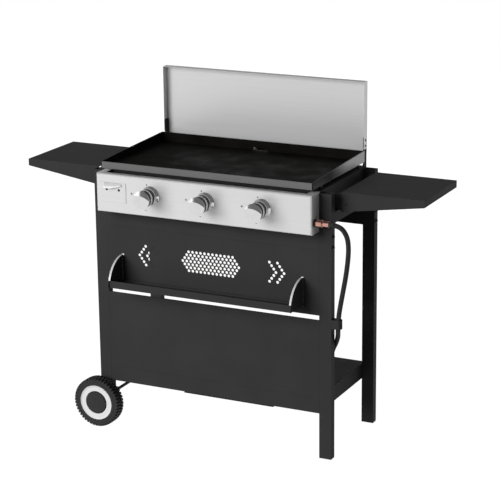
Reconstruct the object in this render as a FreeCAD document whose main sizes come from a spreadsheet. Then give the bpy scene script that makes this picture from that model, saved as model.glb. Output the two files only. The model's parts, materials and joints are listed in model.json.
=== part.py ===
"""Outdoor gas griddle station: a flat-top griddle with three burners on a wheeled cart.

Origin: centre of the outline on the floor. +X is the user's right, +Y points away from the user,
+Z is up. The user stands at -Y. Sizes are in millimetres and live in the spreadsheet "Sizes".
"""
import FreeCAD, Part
import Sketcher
import math
import os

from FreeCAD import Vector

os.makedirs("parts", exist_ok=True)
doc = FreeCAD.newDocument("griddle_station")
sheet = doc.addObject("Spreadsheet::Sheet", "Sizes")
nodes = []
aliases = []


# A length that knows its spreadsheet formula and its present value
class Length:
    def __init__(self, formula, value):
        self.formula = formula
        self.value = value

    def __add__(self, other):
        return Length(f"({self.formula} + {text(other)})", self.value + number(other))

    def __radd__(self, other):
        return Length(f"({text(other)} + {self.formula})", number(other) + self.value)

    def __sub__(self, other):
        return Length(f"({self.formula} - {text(other)})", self.value - number(other))

    def __rsub__(self, other):
        return Length(f"({text(other)} - {self.formula})", number(other) - self.value)

    def __mul__(self, other):
        return Length(f"({self.formula} * {text(other)})", self.value * number(other))

    def __rmul__(self, other):
        return self * other

    def __truediv__(self, other):
        return Length(f"({self.formula} / {text(other)})", self.value / number(other))

    def __neg__(self):
        return Length(f"(0 - {self.formula})", -self.value)


def text(length):
    return length.formula if isinstance(length, Length) else f"({length:.6g})"


def number(length):
    return length.value if isinstance(length, Length) else float(length)


def size(alias, value, note):
    """Write one driving size into the sheet and return it as a Length."""
    aliases.append(alias)
    row = len(aliases)
    sheet.set(f"A{row}", alias.replace("_", " "))
    sheet.set(f"B{row}", f"{value:g}")
    sheet.setAlias(f"B{row}", alias)
    sheet.set(f"C{row}", note)
    return Length(f"Sizes.{alias}", float(value))


# Whole cart
leg_span_x = size("leg_span_x", 810, "outer side face to outer side face of the legs")
leg_span_y = size("leg_span_y", 362, "front face of the front legs to rear face of the rear legs")
mid_y = size("mid_y", 30, "how far the middle of the legs lies behind the origin")
leg_width = size("leg_width", 40, "leg tube, seen from the front")
leg_depth = size("leg_depth", 25, "leg tube, seen from the side")
leg_wall = size("leg_wall", 1.5, "leg tube wall")
leg_top = size("leg_top", 840, "top of the legs above the floor")
left_leg_end = size("left_leg_end", 58, "lower end of the left legs")
sheet_t = size("sheet_t", 1.2, "sheet steel of the panels and shelves")
seat_gap = size("seat_gap", 0.2, "gap left between bolted faces")
rest_gap = size("rest_gap", 0.3, "gap under a piece that lifts off")
running_gap = size("running_gap", 0.05, "radial clearance of pins and shafts")
foot_height = size("foot_height", 4, "foot cap under the right legs")
foot_plug = size("foot_plug", 14, "how far the foot cap reaches into the leg")

# Wheels
wheel_radius = size("wheel_radius", 81, "outside of the tread")
wheel_width = size("wheel_width", 40, "tyre width")
wheel_out = size("wheel_out", 54.5, "outer tyre face, outside the faces of the legs")
tread_depth = size("tread_depth", 3.6, "depth of the tread grooves")
tread_width = size("tread_width", 5, "width of the tread grooves")
tread_count = size("tread_count", 45, "number of tread grooves")
tyre_shoulder = size("tyre_shoulder", 5, "bevel at the edges of the tread")
rim_radius = size("rim_radius", 57.5, "outside of the rim ring")
rim_ring = size("rim_ring", 5, "thickness of the rim ring")
hub_radius = size("hub_radius", 12, "outside of the wheel hub")
cap_radius = size("cap_radius", 36.5, "hub cap")
cap_bulge = size("cap_bulge", 2.5, "how far the hub cap stands out of the tyre face")
axle_radius = size("axle_radius", 5, "axle rod")
axle_in = size("axle_in", 10, "middle of the axle, inside the left faces of the legs")
axle_inset = size("axle_inset", 3, "end of the axle, inside the tyre face")
nut_radius = size("nut_radius", 9.5, "push nut on the axle")
nut_t = size("nut_t", 3, "thickness of the push nut")

# Rails and bolts
rail_low = size("rail_low", 665, "lower edge of the front rail")
rear_rail_low = size("rear_rail_low", 660, "lower edge of the rear rail")
box_low = size("box_low", 722, "underside of the burner box and of the control panel")
side_rail_low = size("side_rail_low", 747, "lower edge of the side rails")
side_rail_high = size("side_rail_high", 781, "upper edge of the side rails")
rail_depth = size("rail_depth", 24, "depth of the rail channels")
bolt_high = size("bolt_high", 707, "upper leg bolts")
bolt_low = size("bolt_low", 674, "lower leg bolts")
bolt_head = size("bolt_head", 5.5, "radius of the domed bolt heads")
bolt_rise = size("bolt_rise", 2.9, "height of the domed bolt heads")
bolt_shank = size("bolt_shank", 3, "radius of the bolt shanks")
bolt_hole = size("bolt_hole", 3.2, "radius of the bolt holes")

# Front panels
vent_low = size("vent_low", 460, "lower edge of the perforated panel")
low_panel_low = size("low_panel_low", 146, "lower edge of the lower panel")
low_panel_high = size("low_panel_high", 445, "upper edge of the lower panel")
panel_return = size("panel_return", 20, "depth of the folded panel edges")
slot_hem = size("slot_hem", 5, "depth of the lower panel's folded upper edge")
bead_height = size("bead_height", 196, "pressed line across the lower panel")
bead_in = size("bead_in", 25, "ends of the pressed line, inside the legs' inner faces")
hole_radius = size("hole_radius", 4.5, "round vent holes")
hole_pitch = size("hole_pitch", 13.8, "vent holes, sideways")
row_pitch = size("row_pitch", 10.1, "vent holes, row to row")
vent_height = size("vent_height", 578, "middle row of the vent holes")
chevron_outer = size("chevron_outer", 249, "tip of the outer chevrons from the middle")
chevron_inner = size("chevron_inner", 222, "tip of the inner chevrons from the middle")
chevron_step = size("chevron_step", 7.2, "sideways step from hole to hole in a chevron")

# Burner box and control panel
box_high = size("box_high", 844, "top edge of the burner box and of the control panel")
box_in = size("box_in", 5, "front wall of the burner box, behind the front face of the legs")
box_rim = size("box_rim", 18, "rim folded inwards at both ends of the burner box")
console_out = size("console_out", 55.5, "control panel face, ahead of the legs")
console_corner = size("console_corner", 6, "rounding of the control panel")
console_rim = size("console_rim", 21.5, "depth of the control panel's top flange")
console_end_rim = size("console_end_rim", 24, "width of the top flange at both ends")
knob_height = size("knob_height", 789.5, "knob axes above the floor")
knob_pitch = size("knob_pitch", 188.5, "knob to knob")
knob_offset = size("knob_offset", 14.9, "middle knob, right of the middle")
shaft_hole = size("shaft_hole", 11.5, "radius of the holes for the knob shafts")

# Bottle opener
opener_left = size("opener_left", 15, "left edge of the opener plate, right of the left end")
opener_width = size("opener_width", 90, "width of the opener plate")
opener_high = size("opener_high", 818, "top of the opener plate")
opener_tall = size("opener_tall", 62, "height of the opener plate")
opener_t = size("opener_t", 1.4, "sheet of the opener")
opener_reach = size("opener_reach", 12, "how far the opener stands out")
screw_radius = size("screw_radius", 1.6, "sheet screws")
screw_hole = size("screw_hole", 1.8, "holes for the sheet screws")

# Knobs
bezel_radius = size("bezel_radius", 30, "bezel behind each knob")
bezel_depth = size("bezel_depth", 9, "how far the bezel stands out")
knob_radius = size("knob_radius", 26.5, "knob body")
knob_gap = size("knob_gap", 4, "gap between bezel and knob")
knob_depth = size("knob_depth", 44, "length of the knob body")
knob_cap_t = size("knob_cap_t", 4, "chromed cap on the knob")
knob_cap_radius = size("knob_cap_radius", 28, "radius of the chromed cap")
shaft_radius = size("shaft_radius", 4, "valve shaft")
shaft_inset = size("shaft_inset", 8, "end of the shaft, behind the knob's face")

# Griddle plate
plate_out = size("plate_out", 32.5, "front edge, ahead of the legs")
plate_back = size("plate_back", 1, "rear edge, behind the legs")
plate_base = size("plate_base", 855, "underside of the griddle plate")
plate_t = size("plate_t", 5, "plate thickness")
plate_wall = size("plate_wall", 3, "wall thickness of the rim")
plate_lip = size("plate_lip", 876, "top of the front lip")
plate_step = size("plate_step", 884, "top of the side wall where it bends")
plate_rear = size("plate_rear", 891, "top of the rear wall")
plate_bend = size("plate_bend", 35, "bend of the side wall, ahead of the middle of the legs")
plate_over = size("plate_over", 6, "how far the plate falls short of the legs' inner faces")
plate_feet_x = size("plate_feet_x", 12, "screw feet, inside the legs' inner faces")
plate_feet_y = size("plate_feet_y", 38, "screw feet, inside the front and rear faces of the legs")
foot_screw = size("foot_screw", 5, "radius of the screw feet")
outlet_half = size("outlet_half", 25, "half the width of the grease outlet")
outlet_high = size("outlet_high", 9, "height of the grease outlet")
spout_reach = size("spout_reach", 24.7, "end of the grease spout, behind the legs")
spout_drop = size("spout_drop", 8, "fall of the grease spout")
spout_wall = size("spout_wall", 2.5, "wall of the grease spout")

# Wind guard
guard_in = size("guard_in", 10.5, "ends of the wind guard, inside the legs' inner faces")
guard_back = size("guard_back", 32.7, "rear face, behind the legs")
guard_depth = size("guard_depth", 26, "depth of its folded edges")
guard_low = size("guard_low", 893, "lower edge")
guard_high = size("guard_high", 1106.5, "top edge")
bracket_t = size("bracket_t", 2.4, "steel of the guard brackets and of the shelf arms")
bracket_toe = size("bracket_toe", 16, "width of the bracket's foot")
bracket_low = size("bracket_low", 42, "foot of the bracket, below the top of the burner box")
bracket_high = size("bracket_high", 38, "top of the bracket, above the lower edge of the guard")

# Side shelves
shelf_top = size("shelf_top", 837, "top of the side shelves")
shelf_front = size("shelf_front", 49, "front edge, behind the front face of the legs")
shelf_back = size("shelf_back", 38, "rear edge, ahead of the rear face of the legs")
shelf_gap = size("shelf_gap", 10, "gap between leg and shelf")
shelf_reach = size("shelf_reach", 678, "outer edge of the shelves from the middle")
shelf_skirt = size("shelf_skirt", 22, "height of the outer edge")
shelf_skirt_in = size("shelf_skirt_in", 61, "height of the skirt beside the leg")
pivot_out = size("pivot_out", 25, "shelf pivot, outside the leg face")
pivot_drop = size("pivot_drop", 37, "shelf pivot, below the shelf top")
arm_reach = size("arm_reach", 51, "length of the shelf arms outside the leg face")
arm_gap = size("arm_gap", 1.4, "gap between arm and shelf skirt")
pin_radius = size("pin_radius", 3, "hinge pins")
pin_end = size("pin_end", 2.4, "how far a shelf pin reaches past its arm")

# Spice shelf
spice_in = size("spice_in", 52, "outer face of the end plates, inside the legs' inner faces")
spice_radius = size("spice_radius", 87, "radius of the quarter-round end plates")
spice_axis_z = size("spice_axis_z", 487.5, "hinge of the spice shelf above the floor")
spice_axis_out = size("spice_axis_out", 5, "hinge of the spice shelf, ahead of the panel")
spice_drop = size("spice_drop", 1, "underside of the floor, below the hinge")
spice_lip = size("spice_lip", 22, "top of its front lip, above the hinge")
spice_inset = size("spice_inset", 6, "front lip, inside the radius of the end plates")
spice_rim = size("spice_rim", 6.5, "width of the folded rim on the end plates")
roll_wall = size("roll_wall", 1.5, "wall of the rolled rear edge")
slot_gap = size("slot_gap", 0.8, "clearance beside the end plates in their slots")
slot_low = size("slot_low", 7, "lower end of the slots, below the hinge")
plate_tail = size("plate_tail", 1, "how far the end plates reach behind the panel at rest")
lug_gap = size("lug_gap", 3, "gap between end plate and hinge lug")
lug_half = size("lug_half", 5, "half the height of the hinge lugs")
spice_pin = size("spice_pin", 14, "length of the spice shelf pins")

# Bottom shelf and cylinder tray
floor_top = size("floor_top", 198, "top of the bottom shelf")
tray_left = size("tray_left", -118, "left side of the cylinder tray")
tray_right = size("tray_right", 195, "right side of the cylinder tray")
tray_in = size("tray_in", 31, "front and rear of the cylinder tray, inside the faces of the legs")
tray_low = size("tray_low", 129, "underside of the cylinder tray")
tray_flange = size("tray_flange", 6, "flange of the cylinder tray")

# Gas supply
manifold_radius = size("manifold_radius", 8, "gas manifold pipe")
manifold_wall = size("manifold_wall", 2, "wall of the gas manifold pipe")
manifold_height = size("manifold_height", 757, "manifold above the floor")
manifold_out = size("manifold_out", 32, "manifold, ahead of the legs")
manifold_left = size("manifold_left", 26, "closed end of the manifold, left of the first valve")
burner_radius = size("burner_radius", 11, "burner tubes")
burner_half = size("burner_half", 52, "burner tubes from the burner's middle")
burner_front = size("burner_front", 66, "front end of the burner tubes, behind the front of the legs")
burner_back = size("burner_back", 41, "rear end of the burner tubes, ahead of the rear of the legs")
port_radius = size("port_radius", 2, "gas ports")
port_count = size("port_count", 12, "gas ports in each tube")
venturi_out = size("venturi_out", 10, "how far a burner reaches out of its box")
nozzle_radius = size("nozzle_radius", 4, "gas nozzle of a valve")
nozzle_in = size("nozzle_in", 8, "how far the nozzle reaches into the burner")
post_radius = size("post_radius", 4, "ceramic post of an electrode")
wire_radius = size("wire_radius", 1, "wire of an electrode")
bush_radius = size("bush_radius", 11.5, "bush where the pipe leaves the control panel")
bush_length = size("bush_length", 6, "bush, outside the control panel")
hex_large = size("hex_large", 21, "large hexagon, across flats")
hex_small = size("hex_small", 18, "small hexagon, across flats")
hex_length = size("hex_length", 17.5, "length of each hexagon")
neck_length = size("neck_length", 5, "neck between the hexagons")
neck_radius = size("neck_radius", 7, "neck between the hexagons")
hose_radius = size("hose_radius", 7.5, "gas hose")
clip_out = size("clip_out", 17.4, "middle of the hose clip, outside the leg face")
clip_in = size("clip_in", 12.4, "middle of the hose clip, behind the front face of the leg")
clip_low = size("clip_low", 423, "lower edge of the hose clip")
clip_tall = size("clip_tall", 28, "height of the hose clip")
clip_bore = size("clip_bore", 10.4, "inner radius of the hose clip")
clip_t = size("clip_t", 2, "strip of the hose clip")
coil_out = size("coil_out", 93, "middle of the hose coil, right of the cylinder tray")
coil_in = size("coil_in", 90, "middle of the hose coil, behind the front face of the legs")
coil_radius = size("coil_radius", 60, "hose coil, to the middle of the hose")
regulator_radius = size("regulator_radius", 26, "gas regulator")
regulator_half = size("regulator_half", 23.5, "half the height of the gas regulator")
regulator_inlet = size("regulator_inlet", 64, "inlet end of the regulator from its middle")
coupling_radius = size("coupling_radius", 17.5, "coupling nut")
stub_radius = size("stub_radius", 9, "stub inside the coupling nut")

# Grease cup
cup_half = size("cup_half", 50, "half the width of the grease cup")
cup_low = size("cup_low", 776, "underside of the grease cup")
cup_high = size("cup_high", 831, "rim of the grease cup")
cup_front = size("cup_front", 5, "front of the grease cup, behind the legs")
cup_back = size("cup_back", 52, "back of the grease cup, behind the legs")
cup_rim = size("cup_rim", 8, "rim of the cup, resting on its rails")
rail_t = size("rail_t", 2, "steel of the cup rails")

doc.recompute()

# Places worked out from the sizes above
leg_out = leg_span_x / 2
leg_in = leg_out - leg_width
inner = leg_in - seat_gap
front = mid_y - leg_span_y / 2
rear = mid_y + leg_span_y / 2
bolt_y = (front + leg_depth / 2, rear - leg_depth / 2)
bolt_z = (bolt_high, bolt_low)
axle_x = axle_in - leg_out
knob_x = [knob_offset - knob_pitch, knob_offset, knob_offset + knob_pitch]
console_y = front - console_out
wheel_face = leg_span_y / 2 + wheel_out
spice_half = leg_in - spice_in
guard_half = leg_in - guard_in
through = 2.0
turn_up = Vector(0, 0, 1)


def bind(item, name, formula):
    item.setExpression(name, text(formula))


def place(item, x=0.0, y=0.0, z=0.0):
    bind(item, "Placement.Base.x", x)
    bind(item, "Placement.Base.y", y)
    bind(item, "Placement.Base.z", z)


def block(x0, x1, y0, y1, z0, z1):
    """A box between two corners."""
    item = doc.addObject("Part::Box", "block")
    bind(item, "Length", x1 - x0)
    bind(item, "Width", y1 - y0)
    bind(item, "Height", z1 - z0)
    place(item, x0, y0, z0)
    return item


def rod(radius, length, x, y, z, along="z"):
    """A cylinder that starts at a point and runs along +X, +Y or +Z."""
    item = doc.addObject("Part::Cylinder", "rod")
    bind(item, "Radius", radius)
    bind(item, "Height", length)
    turn = {"x": (Vector(0, 1, 0), 90), "y": (Vector(1, 0, 0), -90), "z": (Vector(0, 0, 1), 0)}
    item.Placement = FreeCAD.Placement(Vector(), FreeCAD.Rotation(*turn[along]))
    place(item, x, y, z)
    return item


def cut(base, *tools):
    for tool in tools:
        item = doc.addObject("Part::Cut", "cut")
        item.Base = base
        item.Tool = tool
        base = item
    return base


def fuse(*items):
    item = doc.addObject("Part::MultiFuse", "fuse")
    item.Shapes = list(items)
    return item


def group(*items):
    item = doc.addObject("Part::Compound", "group")
    item.Links = list(items)
    return item


def fixed(shape):
    """A sub-part or tool whose shape comes straight from a formula."""
    item = doc.addObject("Part::Feature", "formed")
    item.Shape = shape
    return item


def node(name, item):
    """Give a finished sub-part its name."""
    item.Label = name
    nodes.append(item)
    return item


def plane(body, role):
    return next(f for f in body.Origin.OriginFeatures if f.Role == role)


def outline(body, role, points):
    """A closed sketch of straight lines, each corner tied to the sheet."""
    sketch = body.newObject("Sketcher::SketchObject", "outline")
    sketch.AttachmentSupport = [(plane(body, role), "")]
    sketch.MapMode = "FlatFace"
    corners = [Vector(number(u), number(v), 0) for u, v in points]
    for i, corner in enumerate(corners):
        sketch.addGeometry(Part.LineSegment(corner, corners[(i + 1) % len(corners)]), False)
    for i in range(len(corners)):
        following = (i + 1) % len(corners)
        sketch.addConstraint(Sketcher.Constraint("Coincident", i, 2, following, 1))
    for i, (u, v) in enumerate(points):
        for kind, length in (("DistanceX", u), ("DistanceY", v)):
            k = sketch.addConstraint(Sketcher.Constraint(kind, -1, 1, i, 1, number(length)))
            if isinstance(length, Length):
                sketch.setExpression(f"Constraints[{k}]", text(length))
    return sketch


def slab_y(points, y0, y1):
    """A plate with an outline in X and Z, from y0 to y1."""
    body = doc.addObject("PartDesign::Body", "slab")
    pad = body.newObject("PartDesign::Pad", "pad")
    pad.Profile = outline(body, "XZ_Plane", points)
    bind(pad, "Length", y1 - y0)
    place(body, 0, y1, 0)
    return body


def slab_x(points, x0, x1):
    """A plate with an outline in Y and Z, from x0 to x1."""
    body = doc.addObject("PartDesign::Body", "slab")
    pad = body.newObject("PartDesign::Pad", "pad")
    pad.Profile = outline(body, "YZ_Plane", points)
    bind(pad, "Length", x1 - x0)
    place(body, x0, 0, 0)
    return body


def turned(points, x=0.0, y=0.0, z=0.0):
    """A round piece: an outline of (distance along +Y, radius) turned about its own Y axis."""
    body = doc.addObject("PartDesign::Body", "turned")
    spin = body.newObject("PartDesign::Revolution", "spin")
    sketch = outline(body, "YZ_Plane", points)
    spin.Profile = sketch
    spin.ReferenceAxis = (sketch, ["H_Axis"])
    spin.Angle = 360
    place(body, x, y, z)
    return body


def hexagon(flats, length, x, y, z):
    """A six-sided nut along +X."""
    item = doc.addObject("Part::Prism", "hexagon")
    item.Polygon = 6
    bind(item, "Circumradius", flats / math.sqrt(3))
    bind(item, "Height", length)
    item.Placement = FreeCAD.Placement(Vector(), FreeCAD.Rotation(Vector(0, 1, 0), 90))
    place(item, x, y, z)
    return item


def mirrored_x(points):
    return [(-x, z) for x, z in points]


# Legs, with holes for the cross bolts and, on the left, for the axle
def leg(name, side, at_front):
    x0 = leg_in if side > 0 else -leg_out
    x1 = x0 + leg_width
    y0 = front if at_front else rear - leg_depth
    y1 = y0 + leg_depth
    z0 = foot_height if side > 0 else left_leg_end
    tube = cut(
        block(x0, x1, y0, y1, z0, leg_top),
        block(x0 + leg_wall, x1 - leg_wall, y0 + leg_wall, y1 - leg_wall, z0 - through, leg_top + through),
    )
    across = leg_width + 2 * through
    bores = [rod(bolt_hole, across, x0 - through, y0 + leg_depth / 2, z, "x") for z in bolt_z]
    if side < 0:
        along = leg_depth + 2 * through
        bores.append(rod(axle_radius + running_gap, along, axle_x, y0 - through, wheel_radius, "y"))
    node(name, cut(tube, *bores))


leg("leg_front_right", 1, True)
leg("leg_rear_right", 1, False)
leg("leg_front_left", -1, True)
leg("leg_rear_left", -1, False)


# Foot caps, pushed into the right legs
def foot_cap(y0):
    clear = leg_wall + seat_gap
    base = block(leg_in, leg_out, y0, y0 + leg_depth, 0.0, foot_height)
    plug = block(leg_in + clear, leg_out - clear, y0 + clear, y0 + leg_depth - clear, foot_height / 2,
                 foot_height + foot_plug)
    return fuse(base, plug)


node("foot_caps", group(foot_cap(front), foot_cap(rear - leg_depth)))


# Domed bolts through the legs into the ends of the cross rails
def leg_bolt(side, y, z):
    dome = turned([
        (0, 0), (0, bolt_head), (bolt_rise * 0.35, bolt_head * 0.93), (bolt_rise * 0.75, bolt_head * 0.6),
        (bolt_rise, bolt_head * 0.2), (bolt_rise, 0),
    ])
    dome.Placement = FreeCAD.Placement(Vector(), FreeCAD.Rotation(turn_up, -90 * side))
    place(dome, leg_out * side, y, z)
    length = leg_width + 8
    start = leg_out - length if side > 0 else -leg_out
    return fuse(dome, rod(bolt_shank, length, start, y, z, "x"))


node("leg_bolts", group(*[leg_bolt(side, y, z) for side in (1, -1) for y in bolt_y for z in bolt_z]))


# Cross rails between the legs: folded channels with closed ends
def cross_rail(y0, y1, z0, open_to, y_bolt):
    hollow0 = y0 + sheet_t if open_to > 0 else y0 - through
    hollow1 = y1 + through if open_to > 0 else y1 - sheet_t
    return cut(
        block(-inner, inner, y0, y1, z0, box_low),
        block(sheet_t - inner, inner - sheet_t, hollow0, hollow1, z0 + sheet_t, box_low - sheet_t),
        *[rod(bolt_hole, 12, x, y_bolt, z, "x") for x in (inner - 8, -inner - 4) for z in bolt_z],
    )


node("front_rail", cross_rail(front, front + rail_depth, rail_low, 1, bolt_y[0]))

rear_rail_y = rear - rail_depth
rib = block(inner - 24.5, inner - 14, rear_rail_y - 2, rear_rail_y + 0.5, rear_rail_low + 1, box_low)
node("rear_rail", fuse(cross_rail(rear_rail_y, rear, rear_rail_low, 1, bolt_y[1]), rib))

# Side rails between the front and rear legs, each with two arms that carry a folding shelf
pivot_x = leg_out + pivot_out
pivot_z = shelf_top - pivot_drop
shelf_y0 = front + shelf_front
shelf_y1 = rear - shelf_back
arm_front = shelf_y0 + sheet_t + arm_gap
arm_rear = shelf_y1 - sheet_t - arm_gap - bracket_t


def side_rail(name, side):
    y0 = front + leg_depth + seat_gap
    y1 = rear - leg_depth - seat_gap
    x0 = leg_out - rail_depth if side > 0 else -leg_out
    hollow0 = x0 - through if side > 0 else x0 + sheet_t
    channel = cut(
        block(x0, x0 + rail_depth, y0, y1, side_rail_low, side_rail_high),
        block(hollow0, hollow0 + rail_depth + through - sheet_t, y0 + sheet_t, y1 - sheet_t,
              side_rail_low + sheet_t, side_rail_high - sheet_t),
    )
    arm_top = shelf_top - sheet_t - 0.4
    arm_base = side_rail_high - sheet_t / 2
    arm_in = leg_out - rail_depth + 2
    arm_out = leg_out + arm_reach
    points = [
        (arm_in, arm_base), (leg_out + 2, arm_base), (arm_out, side_rail_high + 4),
        (arm_out, shelf_top - 17), (leg_out + 2, arm_top), (arm_in, arm_top - 12),
    ]
    if side < 0:
        points = mirrored_x(points)
    arms = []
    for y in (arm_front, arm_rear):
        bore = rod(pin_radius, bracket_t + 2 * through, pivot_x * side, y - through, pivot_z, "y")
        arms.append(cut(slab_y(points, y, y + bracket_t), bore))
    node(name, fuse(channel, *arms))


side_rail("side_rail_right", 1)
side_rail("side_rail_left", -1)


# Side shelves: folded pans with a skirt that grows towards the cart
def shelf(name, side):
    x0 = leg_out + shelf_gap
    below = 30
    outer = [
        (x0, shelf_top), (shelf_reach, shelf_top), (shelf_reach, shelf_top - shelf_skirt),
        (x0, shelf_top - shelf_skirt_in),
    ]
    hollow = [
        (x0 - through, shelf_top - sheet_t), (shelf_reach - sheet_t, shelf_top - sheet_t),
        (shelf_reach - sheet_t, shelf_top - shelf_skirt - below),
        (x0 - through, shelf_top - shelf_skirt_in - below),
    ]
    if side < 0:
        outer = mirrored_x(outer)
        hollow = mirrored_x(hollow)
    pan = cut(slab_y(outer, shelf_y0, shelf_y1), slab_y(hollow, shelf_y0 + sheet_t, shelf_y1 - sheet_t))
    bore = rod(pin_radius + running_gap, shelf_y1 - shelf_y0 + 2 * through, pivot_x * side,
               shelf_y0 - through, pivot_z, "y")
    node(name, cut(pan, bore))


shelf("shelf_right", 1)
shelf("shelf_left", -1)


# Perforated panel with the lugs of the spice shelf
def vent_holes():
    """The round holes: a hexagon of seven rows and two nested chevrons on each side."""
    places = []
    for line in range(-3, 4):
        count = 15 - abs(line)
        for k in range(count):
            places.append(((k - (count - 1) / 2) * hole_pitch.value, line * row_pitch.value))
        for tip in (chevron_outer.value, chevron_inner.value):
            reach = tip - abs(line) * chevron_step.value
            places.append((reach, line * row_pitch.value))
            places.append((-reach, line * row_pitch.value))
    depth = sheet_t.value + 2 * through
    start = front.value - through
    drills = [
        Part.makeCylinder(hole_radius.value, depth, Vector(x, start, vent_height.value + z), Vector(0, 1, 0))
        for x, z in places
    ]
    return fixed(Part.makeCompound(drills))


def folded_panel(low, high):
    """A front panel with all four edges folded back."""
    return cut(
        block(-inner, inner, front, front + panel_return, low, high),
        block(sheet_t - inner, inner - sheet_t, front + sheet_t, front + panel_return + through,
              low + sheet_t, high - sheet_t),
    )


spice_y = front - spice_axis_out
plate_mid = spice_half - sheet_t / 2
plate_slot = sheet_t / 2 + slot_gap
rim_mid = spice_half - spice_rim / 2
rim_slot = spice_rim / 2 + slot_gap
slot_high = spice_axis_z + spice_radius + slot_gap
rim_low = slot_high - 4
slots = [
    block(x - half_width, x + half_width, front - through, front + sheet_t + through, z, slot_high)
    for middle, half_width, z in (
        (plate_mid, plate_slot, spice_axis_z - slot_low),
        (rim_mid, rim_slot, rim_low),
    )
    for x in (middle, -middle)
]


def hinge_lug(side):
    x0 = spice_half + lug_gap if side > 0 else -spice_half - lug_gap - bracket_t
    plate = block(x0, x0 + bracket_t, spice_y - lug_half, front + sheet_t / 2, spice_axis_z - lug_half,
                  spice_axis_z + lug_half)
    return cut(plate, rod(pin_radius, bracket_t + 2 * through, x0 - through, spice_y, spice_axis_z, "x"))


vent_panel = cut(folded_panel(vent_low, rail_low - seat_gap), vent_holes(), *slots)
node("vent_panel", fuse(vent_panel, hinge_lug(1), hinge_lug(-1)))

bead_half = leg_in - bead_in
bead = block(-bead_half, bead_half, front - through, front + sheet_t / 2, bead_height - 1.5,
             bead_height + 1.5)
hem_cut = block(sheet_t - inner, inner - sheet_t, front + slot_hem, front + panel_return + through,
                low_panel_high - sheet_t - through, low_panel_high + through)
node("lower_panel", cut(folded_panel(low_panel_low, low_panel_high), bead, hem_cut))

# Hinge pins: pressed into the shelf arms and the spice shelf lugs, running in the shelves
shelf_pin = sheet_t + arm_gap + bracket_t + pin_end + seat_gap
spice_pin_x = spice_half + lug_gap + bracket_t
shelf_pins = [
    rod(pin_radius, shelf_pin, x, y, pivot_z, "y")
    for x in (pivot_x, -pivot_x)
    for y in (shelf_y0 - seat_gap, arm_rear - pin_end)
]
spice_pins = [
    rod(pin_radius, spice_pin, x, spice_y, spice_axis_z, "x")
    for x in (spice_pin_x - spice_pin, -spice_pin_x)
]
node("hinge_pins", group(*shelf_pins, *spice_pins))

# Spice shelf: floor, front lip and rolled rear edge
end_in = spice_half - sheet_t - seat_gap
lip_y = spice_y - spice_radius + spice_inset
spice_floor_z = spice_axis_z - spice_drop
pin_bore = pin_radius + running_gap
roll_radius = pin_radius + roll_wall
spice_shelf = fuse(
    block(-end_in, end_in, lip_y, spice_y, spice_floor_z, spice_floor_z + sheet_t),
    block(-end_in, end_in, lip_y, lip_y + sheet_t, spice_floor_z, spice_axis_z + spice_lip),
    block(-end_in, end_in, spice_y - roll_radius, spice_y, spice_floor_z, spice_axis_z),
    rod(roll_radius, 2 * end_in, -end_in, spice_y, spice_axis_z, "x"),
)
spice_bore = rod(pin_bore, 2 * end_in + 2 * through, -end_in - through, spice_y, spice_axis_z, "x")
node("spice_shelf", cut(spice_shelf, spice_bore))


# Quarter-round end plates of the spice shelf, with a folded rim
def quarter(radius, thick, x0):
    """A quarter disc about the hinge, from straight ahead to straight up."""
    item = doc.addObject("Part::Cylinder", "quarter")
    bind(item, "Radius", radius)
    bind(item, "Height", thick)
    item.Angle = 90
    turn = FreeCAD.Rotation(Vector(0, 1, 0), 90).multiply(FreeCAD.Rotation(Vector(0, 0, 1), 180))
    item.Placement = FreeCAD.Placement(Vector(), turn)
    place(item, x0, spice_y, spice_axis_z)
    return item


def spice_end(name, side):
    web_x = spice_half - sheet_t if side > 0 else -spice_half
    rim_x = spice_half - spice_rim if side > 0 else -spice_half
    web = quarter(spice_radius, sheet_t, web_x)
    lip_room = block(
        rim_x - through, rim_x + spice_rim + through, lip_y - spice_inset - through, lip_y + sheet_t + 1.3,
        spice_floor_z - 1, spice_axis_z + spice_lip + 1,
    )
    rim = cut(
        quarter(spice_radius, spice_rim, rim_x),
        quarter(spice_radius - sheet_t, spice_rim + 2 * through, rim_x - through),
        lip_room,
    )
    tail = block(web_x, web_x + sheet_t, spice_y - 1, front + sheet_t + plate_tail, spice_axis_z,
                 spice_axis_z + spice_radius - 1)
    bore = rod(pin_bore, spice_rim + 2 * through, rim_x - through, spice_y, spice_axis_z, "x")
    node(name, cut(fuse(web, tail, rim), bore))


spice_end("spice_end_right", 1)
spice_end("spice_end_left", -1)

# Bottom shelf: a pan that fills the space between the legs, narrower inside the front panel's folded edges
tray_y0 = front + tray_in
tray_y1 = rear - tray_in
pan_x = inner - sheet_t - seat_gap
pan_low = low_panel_low + sheet_t + seat_gap
pan_front = front + sheet_t + seat_gap
pan_rear = rear - seat_gap
pan_wide = front + panel_return + 1
node("bottom_shelf", cut(
    fuse(
        block(-pan_x, pan_x, pan_front, pan_rear, pan_low, floor_top),
        block(-inner, inner, pan_wide, pan_rear, pan_low, floor_top),
    ),
    block(sheet_t - pan_x, pan_x - sheet_t, pan_front + sheet_t, pan_rear - sheet_t,
          pan_low - through, floor_top - sheet_t),
    block(tray_left - seat_gap, tray_right + seat_gap, tray_y0 - seat_gap, tray_y1 + seat_gap,
          pan_low - through, floor_top + through),
))

# Drop-in tray for the gas cylinder, hanging by its flange
flange_low = floor_top + seat_gap / 2
flange_top = flange_low + sheet_t
node("cylinder_tray", cut(
    fuse(
        block(tray_left, tray_right, tray_y0, tray_y1, tray_low, flange_top),
        block(tray_left - tray_flange, tray_right + tray_flange, tray_y0 - tray_flange, tray_y1 + tray_flange,
              flange_low, flange_top),
    ),
    block(tray_left + sheet_t, tray_right - sheet_t, tray_y0 + sheet_t, tray_y1 - sheet_t,
          tray_low + sheet_t, flange_top + through),
))

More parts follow.
